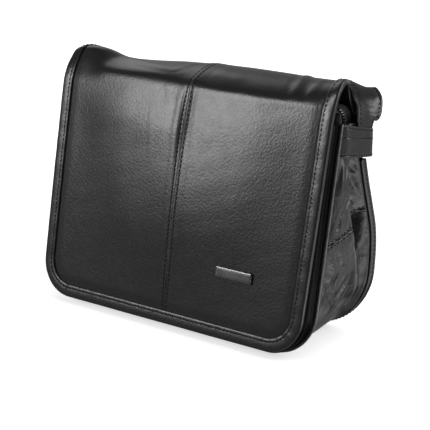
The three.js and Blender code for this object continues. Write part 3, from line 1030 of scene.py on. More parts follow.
@dataclass(frozen=True)
class Finishes:
    """The bag's materials and repeated details, made once.

    Attributes:
        smooth: Leather of the flap, the back, the strap and the bound edges.
        soft: Leather of the gussets and of the wall behind the pocket.
        dull: Painted shade for the pocket, its strip and the cut edges behind the crest: darker leather with
            weak reflections.
        thread: Thread of the stitches.
        plate: Metal of the plate.
        teeth_metal: Metal of the zip.
        tape: Weave of the zip's tapes.
        stitches: Pattern of the stitches.
        teeth: Pattern of the zip's teeth.
    """

    smooth: bpy.types.Material
    soft: bpy.types.Material
    dull: bpy.types.Material
    thread: bpy.types.Material
    plate: bpy.types.Material
    teeth_metal: bpy.types.Material
    tape: bpy.types.Material
    stitches: Pattern
    teeth: Pattern

    def sew(
        self, name: str, lines: Sequence[Grid], pitch: float = 4.0, width: float = 0.95
    ) -> bpy.types.Object:
        """Sews rows of stitches and lets them ride on the bag.

        Args:
            name: The new piece's name.
            lines: Lines on the leather, in millimetres.
            pitch: Length of one stitch with its gap.
            width: Thickness of the thread.

        Returns:
            The stitches as one piece.
        """
        piece = self.stitches.run(name, lines, self.thread, Pitch=pitch, Length=0.64 * pitch, Width=width)
        return settle(piece, Slot.SMOOTH, self.thread)


@dataclass(frozen=True)
class SubAssembly:
    """A group of the bag's pieces.

    Attributes:
        form: The bag's shared form.
        finishes: Its materials.
    """

    form: Form
    finishes: Finishes

    def smooth_piece(self, piece: bpy.types.Object, node: str, rub: Grid) -> bpy.types.Object:
        """Dresses a piece in smooth leather, with a painted highlight by point, in place of a solid."""
        mark(piece, "rub", rub)
        return settle(piece, Slot.SMOOTH, self.finishes.smooth, node)

    def bound_piece(self, node: str, rings: Grid, painted_highlights: Sequence[tuple[int, float]]) -> bpy.types.Object:
        """Makes a band of smooth leather in place of a solid.

        Args:
            node: The solid's name.
            rings: The band's points, shaped (rings, section points, 3).
            painted_highlights: Painted highlight on some of the section's points, by their number.

        Returns:
            The band.
        """
        rub = np.zeros(rings.shape[:2])
        for point, share in painted_highlights:
            rub[:, point] = share
        return self.smooth_piece(band_piece(node + "_leather", rings), node, rub)


# Sub-assemblies


@dataclass(frozen=True)
class Flap(SubAssembly):
    """The bound flap with its centre seam.

    Attributes:
        half_width: Half the width over the border.
        corner: Radius of the foot's corners.
        inset: From the border's outer edge to the leather's.
        leather: Thickness of the leather.
        seam_gap: Width of the line between the halves.
        seam_row: From the seam to each row of stitches.
        allowance: Half the width of the turned leather under the seam.
        seam_lift: Height of the leather over that allowance.
        groove: Depth of the line inside the border, and height of the face's rise from it.
        band: Width of the border on the face, in from the leather's edge.
        band_row: From the leather's edge in to the border's stitches.
        binding_end: Way up from the foot where the border ends, behind the crest.
        binding_section: The border's section, out from the leather's edge and up from its face.
        binding_rub: Painted highlight on the section's outer points, where the roll catches the light, by
            their number.
        side_inset: How far each side draws in by its way up from the foot.
        bend_way: Way up to the slight bend under the fold.
        bend: Height of the leather round that bend, by the way from it, on each half.
        creases: Folds of the leather, by x and way.
    """

    half_width: float = 150.0
    corner: float = 34.0
    inset: float = 1.5
    leather: float = 2.2
    seam_gap: float = 0.04
    seam_row: float = 2.6
    allowance: float = 9.0
    seam_lift: float = 0.25
    groove: float = 0.45
    band: float = 9.8
    band_row: float = 6.9
    binding_end: float = 264.0
    binding_section: tuple[tuple[float, float], ...] = (
        (-9.8, 0.6), (-9.9, 0.8), (-9.75, 0.95), (-9.3, 1.08), (-8.4, 1.2), (-7.5, 1.26), (-6.9, 1.12),
        (-6.3, 1.28), (-1.2, 1.1), (0.1, 0.98), (0.75, 0.8), (1.15, 0.5), (1.4, 0.1), (1.48, -0.38),
        (1.5, -0.9), (1.5, -2.0), (1.2, -3.0), (0.5, -3.7), (-0.6, -3.95), (-9.0, -3.95), (-9.0, -3.05),
        (0.3, -3.05), (0.3, 0.25),
    )
    binding_rub: tuple[tuple[int, float], ...] = ((11, 0.3), (12, 0.5), (13, 0.4))
    side_inset: SmoothTable = SmoothTable(
        (0, 100, 200, 248, 256, 264, 272, 296),
        {
            "left": (2.4, 0.8, 0, 0, 5, 10.5, 12, 12),
            "right": (5.4, 3.4, 1.6, 1.8, 6.5, 11, 12, 12),
        },
    )
    bend_way: float = 171.0
    bend: SmoothTable = SmoothTable(
        (-172, -130, -110, -70, -30, -6, 0, 6, 15, 24, 33, 42, 60, 130),
        {
            "left": (0, 0.12, 0.3, 0.95, 2.35, 3.45, 3.56, 3.46, 3.0, 2.35, 1.5, 0.5, -0.4, 0),
            "right": (0, 0, 0.05, 0.63, 1.5, 1.8, 1.85, 1.81, 1.58, 1.27, 0.95, 0.62, 0.3, 0),
        },
    )
    creases: tuple[Crease, ...] = (
        Crease((5.5, 212), (5.5, 164), 1.4, -0.2),
        Crease((-8, 209), (-8.5, 178), 1.5, -0.12),
        Crease((-38.5, 190), (-31.5, 136), 1.7, -0.16),
        Crease((-27, 214), (-19, 193), 1.5, -0.28),
        Crease((-14, 200), (-15, 160), 2.4, 0.12),
        Crease((107, 220), (97, 257), 4.0, -0.7),
        Crease((122, 218), (121, 248), 3.5, -0.6),
        Crease((134, 214), (130, 240), 2.6, 0.4),
        Crease((-109, 249), (-68, 238.5), 3.0, -0.6),
        Crease((-76, 240), (-28, 232), 3.0, -0.6),
        Crease((-30, 232), (-16, 243), 2.6, -0.4),
        Crease((12, 236), (50, 229), 6.0, -0.5),
    )

    @property
    def edge(self) -> float:
        """Half the width of the leather inside the border's roll."""
        return self.half_width - self.inset

    @property
    def radius(self) -> float:
        """Radius of the leather's lower corners."""
        return self.corner - self.inset

    @property
    def end(self) -> float:
        """Way from the foot to the end of the lap."""
        return self.form.straight + self.form.over

    def edge_at(self, way: Grid | float, side: Side) -> Grid:
        """Half the width of the leather on one side by its way up, past the corners."""
        return self.edge - self.side_inset.at(side.word, way)

    def corner_start(self, side: Side) -> float:
        """Half the width of the foot's straight part on one side."""
        return float(self.edge_at(self.inset + self.radius, side)) - self.radius

    def border_stops(self, top: float, side: Side) -> Grid:
        """Sets stations up one side from the middle of the foot.

        Args:
            top: Way where they end.
            side: Which side.

        Returns:
            Stations in x, without its sign, and way.
        """
        start = self.corner_start(side)
        foot = np.linspace(0, start, 40, endpoint=False)
        turn = np.linspace(0, QUARTER, 25)
        face = np.arange(self.inset + self.radius + 3.5, self.form.straight, 3.5)
        ways = np.concatenate([face, np.linspace(self.form.straight, top, 40)])
        sine, cosine = np.sin(turn), np.cos(turn)
        rounded = stacked(start + self.radius * sine, self.inset + self.radius * (1 - cosine), sine, -cosine)
        sides = stacked(self.edge_at(ways, side), ways, 1, 0)
        return np.concatenate([stacked(foot, self.inset, 0, -1), rounded, sides])

    def from_edge(self, x: Grid, way: Grid) -> Grid:
        """Measures how far in from the leather's edge places lie.

        Args:
            x: Places across the bag.
            way: Distances up from the foot.

        Returns:
            Their distances from the nearest edge.
        """
        right = x > 0
        edge = np.where(right, self.edge_at(way, Side.RIGHT), self.edge_at(way, Side.LEFT))
        aside = np.abs(x) - np.where(right, self.corner_start(Side.RIGHT), self.corner_start(Side.LEFT))
        up = self.inset + self.radius - way
        round_way = self.radius - np.hypot(np.maximum(aside, 0), np.maximum(up, 0))
        plain = np.minimum(edge - np.abs(x), way - self.inset)
        return np.where((aside > 0) & (up > 0), round_way, plain)

    def relief(self, x: Grid, way: Grid) -> Grid:
        """Gives the height of the seam, border, creases and soft swells over the plain face.

        Args:
            x: Places across the bag.
            way: Distances up from the foot.

        Returns:
            The heights.
        """
        inside = self.from_edge(x, way) - self.band
        turned = self.seam_lift * (1 - ramp(np.abs(x), self.allowance - 1.5, self.allowance + 2.5))
        seam = turned + 0.08 * bell(x, 1.6) - 0.14 * bell(np.abs(x) - self.seam_row, 0.6)
        border = self.groove * (ramp(inside, 0.3, 9) - bell(inside - 0.4, 0.5))
        soft = 0.1 * swells(x, way, 120, 3) + 0.04 * swells(x, way, 34, 5)
        right = ramp(x, -8, 2)
        bends = self.bend.read(way - self.bend_way + 0.06 * np.minimum(x, 0), "left", "right")
        bend = (1 - right) * bends[0] + right * bends[1]
        folds = ramp(inside, 0, 24) * (soft + crease_relief(self.creases, x, way))
        return seam + border + folds + ramp(inside, 0, 76) * bend

    def face(self, x: Grid, way: Grid, lift: float = 0.0) -> Grid:
        """Points on the leather with its relief, lifted by a distance."""
        rise = (self.relief(x, way) + lift)[..., None]
        return self.form.flap_point(x, way) + self.form.flap_normal(x, way) * rise

    def build_half(self, side: Side) -> bpy.types.Object:
        """Makes one half, from the seam to its edge, with painted shade on the cut edges behind the crest.

        Args:
            side: Which half.

        Returns:
            The piece.
        """
        stops = self.border_stops(self.end, side)
        rows = stops[stops[:, 0] >= self.corner_start(side)]
        near = np.linspace(0, 6, 27)
        middle = np.linspace(6, self.edge - 16, 46)[1:]
        far = np.linspace(self.edge - 16, self.edge, 17)[1:]
        shares = np.concatenate([near, middle, far]) / self.edge
        gap = self.seam_gap / 2
        x = side * (gap + (rows[:, :1] - gap) * shares)[:, ::side]
        way = rows[:, 1:2]
        name = f"flap_{side.word}"
        piece = sheet_piece(name + "_leather", self.face(x, way), self.leather, self.form.flap_normal(x, way))
        # A painted highlight along the ridge between the seam's two rows of stitches.
        self.smooth_piece(piece, name, 0.5 * bell(x, 1.3) * ramp(way, 20, 60))
        # Painted shade: the cut edges behind the crest take the darker leather with weak reflections.
        piece.data.materials.append(self.finishes.dull)
        for face in piece.data.polygons:
            face.material_index = int(abs(face.normal.x) > 0.8 and face.center.y > 0)
        return piece

    def border_lines(self, top: float) -> Grid:
        """Stations along the whole border, from the left top round the foot to the right top."""
        left = self.border_stops(top, Side.LEFT)[:0:-1] * FLIP_ACROSS
        return np.concatenate([left, self.border_stops(top, Side.RIGHT)])

    def on_border(self, stops: Grid, out: Grid, up: Grid) -> Grid:
        """Gives points beside the leather's edge.

        Args:
            stops: Stations along the border, shaped (count, 4).
            out: Distances outwards from the leather's edge.
            up: Heights over the leather's face.

        Returns:
            Points shaped (stations, distances, 3).
        """
        x, way, out_x, out_way = stops.T[..., None]
        at = x + out_x * out, way + out_way * out
        return self.form.flap_point(*at) + self.form.flap_normal(*at) * up[:, None]

    def build_binding(self) -> bpy.types.Object:
        """Makes the rolled border band with its turned inner edge.

        Returns:
            The piece.
        """
        section = np.array(self.binding_section)
        stops = self.border_lines(self.binding_end)
        rings = self.on_border(stops, section[:, 0], section[:, 1])
        uneven = 0.12 * swells(stops[:, 0] * 1.3, stops[:, 1], 26, 11)
        rings[:, 1:15] += (self.form.flap_normal(stops[:, 0], stops[:, 1]) * uneven[:, None])[:, None]
        # The outer points of the section carry a painted highlight.
        return self.bound_piece("flap_binding", rings, self.binding_rub)

    def build_stitches(self) -> bpy.types.Object:
        """Sews the rows beside the seam, round the border and along the lap's end.

        Returns:
            The stitches as one piece.
        """
        ways = np.arange(self.inset + self.band, self.end - 2, 2.0)
        rows = [self.face(np.full_like(ways, side * self.seam_row), ways, 0.1) for side in Side]
        stops = self.border_lines(self.binding_end - 1)
        rows.append(self.on_border(stops, np.array([-self.band_row]), np.array([1.3]))[:, 0])
        for way in (self.end - 4, self.end - 9):
            reach = float(self.edge_at(way, Side.RIGHT)) - 4
            x = np.linspace(-reach, reach, 120)
            rows.append(self.face(x, np.full_like(x, way), 0.15))
        return self.finishes.sew("flap_stitches", rows)

    def build(self) -> None:
        """Makes every piece of the flap."""
        for side in Side:
            self.build_half(side)
        self.build_binding()
        self.build_stitches()


@dataclass(frozen=True)
class Pocket(SubAssembly):
    """The shallow front pocket behind the flap: its front, its narrow strip, the wall behind and the piping.

    Attributes:
        stand: From the flap's face to the pocket's front.
        leather: Thickness of the front and the strip.
        top: Height of the front and the strip.
        wall_top: Height of the wall behind the pocket.
        wall: Thickness of that wall.
        wall_inset: From the outline to that wall's edge.
        seam: From the piping's middle to the strip's edge.
        cord: Radius of the piping.
        sag: How far the strip sinks in half way.
    """

    stand: float = 4.3
    leather: float = 1.8
    top: float = 196.0
    wall_top: float = 204.6
    wall: float = 2.0
    wall_inset: float = 1.2
    seam: float = 2.2
    cord: float = 1.8
    sag: float = 2.6

    def wall_piece(
        self, name: str, stand: float, top: float, inset: float, thickness: float
    ) -> bpy.types.Object:
        """Makes a flat leather wall that follows the flap's lean.

        Args:
            name: The solid that it replaces.
            stand: From the flap's face to the wall's face.
            top: Height of the wall.
            inset: From the body's outline to the wall's edge.
            thickness: Thickness of the wall.

        Returns:
            The bare piece.
        """
        x, z = self.form.wall(top, self.form.front_corner, inset, np.linspace(-1, 1, 41))
        y = self.form.flap_y(z) + stand + 0.15 * swells(x, z, 90, 17)
        return sheet_piece(name + "_leather", stacked(x, y, z), thickness)

    def build_front(self) -> bpy.types.Object:
        """Makes the pocket's front."""
        piece = self.wall_piece("front_panel", self.stand, self.top, 0.0, self.leather)
        # Painted shade: the pocket's front takes the darker leather with weak reflections.
        return settle(piece, Slot.SMOOTH, self.finishes.dull, "front_panel")

    def build_divider(self) -> bpy.types.Object:
        """Makes the wall behind the pocket.

        Returns:
            The piece.
        """
        behind = self.form.pocket_depth - self.wall / 2
        piece = self.wall_piece("divider_panel", behind, self.wall_top, self.wall_inset, self.wall)
        return settle(piece, Slot.SOFT, self.finishes.soft, "divider_panel")

    def build_strip(self) -> bpy.types.Object:
        """Makes the narrow strip round the pocket, which sags inwards.

        Returns:
            The piece.
        """
        stations = self.form.outline(self.top, self.form.front_corner)[:, None]
        x, z = stations[..., 0], stations[..., 1]
        share = np.linspace(0, 1, 11)
        near, far = self.stand + self.leather + 0.6, self.form.pocket_depth - self.seam
        ripple = 0.35 * swells(z + 0.6 * x, share * 8, 42, 23)
        crown = (ripple - self.sag) * np.sin(math.pi * share)
        grid = beside(stations, crown, self.form.flap_y(z) + near + (far - near) * share)
        piece = sheet_piece("front_gusset_leather", grid, self.leather)
        # Painted shade: the strip takes the darker leather with weak reflections, to stay black in its
        # recess.
        return settle(piece, Slot.SOFT, self.finishes.dull, "front_gusset")

    def build_piping(self) -> bpy.types.Object:
        """Makes the leather-covered cord in the seam behind the pocket.

        Returns:
            The piece.
        """
        stations = self.form.outline(self.top, self.form.front_corner)[:, None]
        x, z = stations[..., 0], stations[..., 1]
        angles = np.linspace(0, 2 * math.pi, 12, endpoint=False)
        radius = self.cord * (1 + 0.04 * swells(z, x, 18, 29))
        rings = beside(stations, 1.0 + radius * np.cos(angles), self.form.seam_y(z) + radius * np.sin(angles))
        # A painted highlight on the piping's outer side.
        rub = np.tile(0.8 * np.clip(np.cos(angles), 0, 1) ** 2, len(stations))
        return self.smooth_piece(band_piece("front_piping_leather", rings), "front_piping", rub)

    def build(self) -> None:
        """Makes every piece of the pocket."""
        self.build_front()
        self.build_strip()
        self.build_divider()
        self.build_piping()


@dataclass(frozen=True)
class Body(SubAssembly):
    """The main compartment: pleated gussets, the back and its edge band.

    Attributes:
        leather: Thickness of the gussets.
        columns: Points of a gusset from the front seam to the back edge.
        top: Height of the gussets.
        seam: Heights of the slanting side seam at the front and the back.
        seam_row: From that seam to each row of its stitches.
        pucker: Spacing of the gathers along that seam.
        front_seam: From the piping's middle to the gusset's edge.
        band: Width of the edge band at the back.
        band_top: Height of the edge band.
        band_seam: From the edge band to the gusset's edge.
        band_section: The band's section, out from the outline and back from the back's face.
        band_rub: Painted highlight on the section's edge points, by their number.
        back: Thickness of the back.
        back_top: Height of the back.
        back_inset: From the outline to the back's edge.
        by_height: Depth share of the pleat's fold, and how far its parts stand out or in, by height.
        section: Shares of those parts from the front seam (0) to the back edge (1).
        creases: Folds of the leather, by the distance from the front seam and height.
    """

    leather: float = 1.8
    columns: int = 57
    top: float = 193.0
    seam: tuple[float, float] = (95.0, 115.0)
    seam_row: float = 2.4
    pucker: float = 7.0
    front_seam: float = 2.2
    band: float = 8.0
    band_top: float = 159.5
    band_seam: float = 2.2
    band_section: tuple[tuple[float, float], ...] = (
        (-2.5, -8.0), (0.0, -8.0), (0.7, -7.6), (1.0, -6.8), (1.1, -4.2), (1.0, -1.4), (0.7, -0.6),
        (0.1, 0.1), (-0.8, 0.3), (-2.5, 0.3),
    )
    band_rub: tuple[tuple[int, float], ...] = ((2, 0.4), (3, 0.5), (5, 0.5), (6, 0.4))
    back: float = 2.2
    back_top: float = 200.0
    back_inset: float = 2.8
    by_height: SmoothTable = SmoothTable(
        (4, 8, 14, 28, 46, 84, 112, 148, 172, 193),
        {
            "fold": (0.5, 0.54, 0.61, 0.72, 0.77, 0.59, 0.485, 0.4, 0.4, 0.4),
            "bulge": (0, 0, 0, 0.5, 2.6, 5, 5, 4, 1.2, 0.8),
            "sink": (0, 0, 0, 0.5, 2.5, 8, 9, 8, 3.5, 2.5),
            "rest": (4, 0, -3, -5, -2.5, 0, 0, 0, 0, 0),
        },
    )
    section: SmoothTable = SmoothTable(
        (0, 0.1, 0.25, 0.42, 0.5, 0.58, 0.7, 0.84, 0.93, 1),
        {
            "bulge": (0, 0.45, 0.85, 1, 0.8, 0, 0, 0, 0, 0),
            "sink": (0, 0, 0, 0, 0, 0.6, 1, 0.85, 0.45, 0),
            "rest": (0, 0.8, 1, 1, 1, 1, 1, 1, 0.8, 0),
        },
    )
    creases: tuple[Crease, ...] = (
        Crease((8, 170), (6.5, 136), 2.0, -0.7),
        Crease((14, 128), (8, 104), 2.4, 0.7),
        Crease((21, 132), (20, 106), 2.2, -0.6),
        Crease((53, 110), (59, 79), 3.6, 10.0, 0.06),
        Crease((64, 100), (66, 80), 1.8, -0.9),
        Crease((69, 102), (71, 60), 2.2, -1.2),
        Crease((58, 74), (62, 46), 2.4, 1.2),
        Crease((36, 21), (29.5, 44), 2.2, -1.2),
        Crease((29.5, 42), (41, 60), 2.2, -1.1),
        Crease((6, 64), (21, 46), 2.0, 1.0),
        Crease((20, 48), (38, 19), 2.0, 1.0),
        Crease((66, 12), (70, 42), 2.6, -1.0),
        Crease((12, 90), (24, 70), 3.0, 0.5),
        Crease((33, 147), (44, 133), 1.7, 1.1),
        Crease((27, 158), (39, 149), 1.8, 0.9),
        Crease((36, 128), (46, 122), 1.8, 0.8),
    )

    def seam_height(self, w: Grid) -> Grid:
        """Height of the slanting side seam from the front seam (0) to the back edge (1)."""
        return self.seam[0] + (self.seam[1] - self.seam[0]) * w

    def gusset(self, stations: Grid, w: Grid, lift: float = 0.0) -> Grid:
        """Gives points of the pleated gusset.

        Args:
            stations: Stations in x and z, shaped (..., 4).
            w: Places from the front seam (0) to the back edge (1), with the pleat's fold half way.
            lift: Height over the leather.

        Returns:
            The points.
        """
        z, out_x = stations[..., 1], stations[..., 2]
        fold = self.by_height.at("fold", z)
        share = np.where(w < 0.5, 2 * w * fold, fold + (1 - fold) * (2 * w - 1))
        near = self.form.seam_y(z) + self.front_seam
        far = self.form.back_y(z) - self.band - self.band_seam
        parts = ("bulge", "sink", "rest")
        bulge, sink, rest = (self.section.at(name, w) * self.by_height.at(name, z) for name in parts)
        across = share * (far - near)
        calm = ramp(z, 12, 30) * (1 - ramp(z, 156, 170)) * ramp(w, 0.0, 0.1) * (1 - ramp(w, 0.93, 1.0))
        pucker = np.sin(across * 2 * math.pi / self.pucker) * bell(z - self.seam_height(w), 5.0)
        soft = 0.6 * swells(across + 40 * out_x, z, 46, 31) + 0.2 * swells(across, z, 17, 33)
        relief = crease_relief(self.creases, across, z) + soft + 0.3 * pucker
        return beside(stations, bulge - sink + rest + lift + calm * relief, near + across)

    def wear(self, grid: Grid, w: Grid) -> Grid:
        """Gives the painted highlight along the pleat's fold edge and on the ridges.

        Args:
            grid: The gusset's points.
            w: Places of its columns.

        Returns:
            The painted highlight of each point, from 0 to 1.
        """
        ridges = [crease for crease in self.creases if crease.depth < 0]
        across = grid[..., 1] - self.form.seam_y(grid[..., 2]) - self.front_seam
        raised = crease_relief(ridges, across, grid[..., 2]) * ramp(np.abs(grid[..., 0]), 100, 130)
        return np.clip(0.8 * bell(w - 0.49, 0.03) + 0.45 * np.clip(raised, 0, 1), 0, 1)

    def gusset_piece(self, node: str, grid: Grid, w: Grid) -> bpy.types.Object:
        """Makes a piece of soft leather in place of a solid.

        Args:
            node: The solid's name.
            grid: The piece's points.
            w: Places of its columns.

        Returns:
            The piece.
        """
        piece = sheet_piece(node + "_leather", grid, self.leather)
        # Stores the painted highlight of the fold edge and the ridges.
        mark(piece, "rub", self.wear(grid, w))
        return settle(piece, Slot.SOFT, self.finishes.soft, node)

    def on_side(self, side: Side, w: Grid, z: Grid, lift: float = 0.0) -> Grid:
        """Gives points over the leather of one side, by place across and height."""
        return self.gusset(stacked(side * self.form.half_width, z, side, 0), w, lift)

    def build_base(self) -> bpy.types.Object:
        """Makes the bottom strip with the lower sides, up to the slanting seam.

        Returns:
            The piece.
        """
        w = np.linspace(0, 1, self.columns)
        corners = self.form.front_corner + (self.form.back_corner - self.form.front_corner) * w
        stations = [self.form.outline(top, corner) for top, corner in zip(self.seam_height(w), corners)]
        return self.gusset_piece("base_gusset", self.gusset(np.stack(stations, axis=1), w), w)

    def build_upper(self, side: Side) -> bpy.types.Object:
        """Makes one upper side piece.

        Args:
            side: Which side.

        Returns:
            The piece.
        """
        w = np.linspace(0, 1, self.columns)[::side]
        low = self.seam_height(w)
        z = low + (self.top - low) * np.linspace(0, 1, 49)[:, None]
        return self.gusset_piece(f"gusset_upper_{side.word}", self.on_side(side, w, z), w)

    def build_back(self) -> bpy.types.Object:
        """Makes the back wall.

        Returns:
            The piece.
        """
        shares = np.linspace(1, -1, 61)
        x, z = self.form.wall(self.back_top, self.form.back_corner, self.back_inset, shares)
        uneven = 0.25 * swells(x, z, 110, 37) * (1 - ramp(np.abs(shares), 0.85, 1.0))
        piece = sheet_piece("back_panel_leather", stacked(x, self.form.back_y(z) + uneven, z), self.back)
        return settle(piece, Slot.SMOOTH, self.finishes.smooth, "back_panel")

    def build_band(self) -> bpy.types.Object:
        """Makes the dark band along the edge of the back.

        Returns:
            The piece.
        """
        out, behind = np.array(self.band_section).T
        stations = self.form.outline(self.band_top, self.form.back_corner)[:, None]
        rings = beside(stations, out, self.form.back_y(stations[..., 1]) + behind)
        # The edge points of the band carry a painted highlight.
        return self.bound_piece("back_binding", rings, self.band_rub)

    def build_stitches(self) -> bpy.types.Object:
        """Sews the slanting side seams and the row along the edge band.

        Returns:
            The stitches as one piece.
        """
        w = np.linspace(0.03, 0.97, 80)
        rows = [
            self.on_side(side, w, self.seam_height(w) + step, 0.15)
            for side in Side
            for step in (-self.seam_row, self.seam_row)
        ]
        stations = self.form.outline(self.band_top - 3, self.form.back_corner)
        rows.append(beside(stations, 1.15, self.form.back_y(stations[:, 1]) - self.band / 2))
        return self.finishes.sew("body_stitches", rows)

    def build(self) -> None:
        """Makes every piece of the main compartment."""
        self.build_base()
        self.build_upper(Side.RIGHT)
        self.build_upper(Side.LEFT)
        self.build_back()
        self.build_band()
        self.build_stitches()


@dataclass(frozen=True)
class Zip(SubAssembly):
    """The zip over the main compartment: two tapes, the teeth and the slider.

    Attributes:
        half_length: Half the length across the bag.
        corner: Radius where it turns down inside each gusset.
        top: Height of the tapes.
        low: Height of the zip's ends.
        steps: Stations along half the length, round a corner and down a side.
        middle: Depth of the teeth.
        tape: Width of each tape.
        tape_thickness: Thickness of the tapes.
        tooth_row: Width of the closed teeth.
        pitch: Spacing of the teeth in a row.
        tooth: A tooth's length along the zip, its reach across it and its height.
    """

    half_length: float = 140.0
    corner: float = 12.0
    top: float = 206.4
    low: float = 180.0
    steps: tuple[int, int, int] = (59, 12, 10)
    middle: float = 7.6
    tape: float = 10.4
    tape_thickness: float = 0.9
    tooth_row: float = 3.4
    pitch: float = 2.2
    tooth: Place = (1.05, 2.3, 1.9)

    def route(self) -> Grid:
        """Stations up inside the left gusset, across and down the right one: a rounded U upside down."""
        return rounded_sides(self.half_length, -self.top, -self.low, self.corner, self.steps) * FLIP_UP

    def build_tape(self, name: str, near: float, far: float) -> bpy.types.Object:
        """Makes one tape.

        Args:
            name: The solid that it replaces.
            near: Depth of its front edge from the teeth.
            far: Depth of its back edge from them.

        Returns:
            The tape.
        """
        route = self.route()[:, None]
        depth = np.linspace(far, near, 12)
        wave = 0.15 * swells(route[..., 0] + route[..., 1], depth * 3, 24, 41)
        piece = sheet_piece(name + "_weave", beside(route, wave, self.middle + depth), self.tape_thickness)
        return settle(piece, Slot.TAPE, self.finishes.tape, name)

    def build_teeth(self) -> bpy.types.Object:
        """Sets the two rows of teeth, each half a step from the other.

        Returns:
            The piece.
        """
        rows = [beside(self.route(), -0.1, self.middle + side * 0.5) for side in Side]
        rows[1][0] += (rows[1][1] - rows[1][0]) * 0.5
        length, reach, height = self.tooth
        sizes = {"Pitch": self.pitch, "Length": length, "Reach": reach, "Height": height}
        piece = self.finishes.teeth.run("zip_teeth_rows", rows, self.finishes.teeth_metal, **sizes)
        piece.data.shade_flat()
        return settle(piece, Slot.NICKEL, self.finishes.teeth_metal, "zip_teeth")

    def build(self) -> None:
        """Makes every piece of the zip and dresses the slider."""
        edge = self.tooth_row / 2 + 0.3
        self.build_tape("zip_tape_front", -edge - self.tape, -edge)
        self.build_tape("zip_tape_back", edge, edge + self.tape)
        self.build_teeth()
        dress(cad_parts["zip_slider"], self.finishes.teeth_metal)


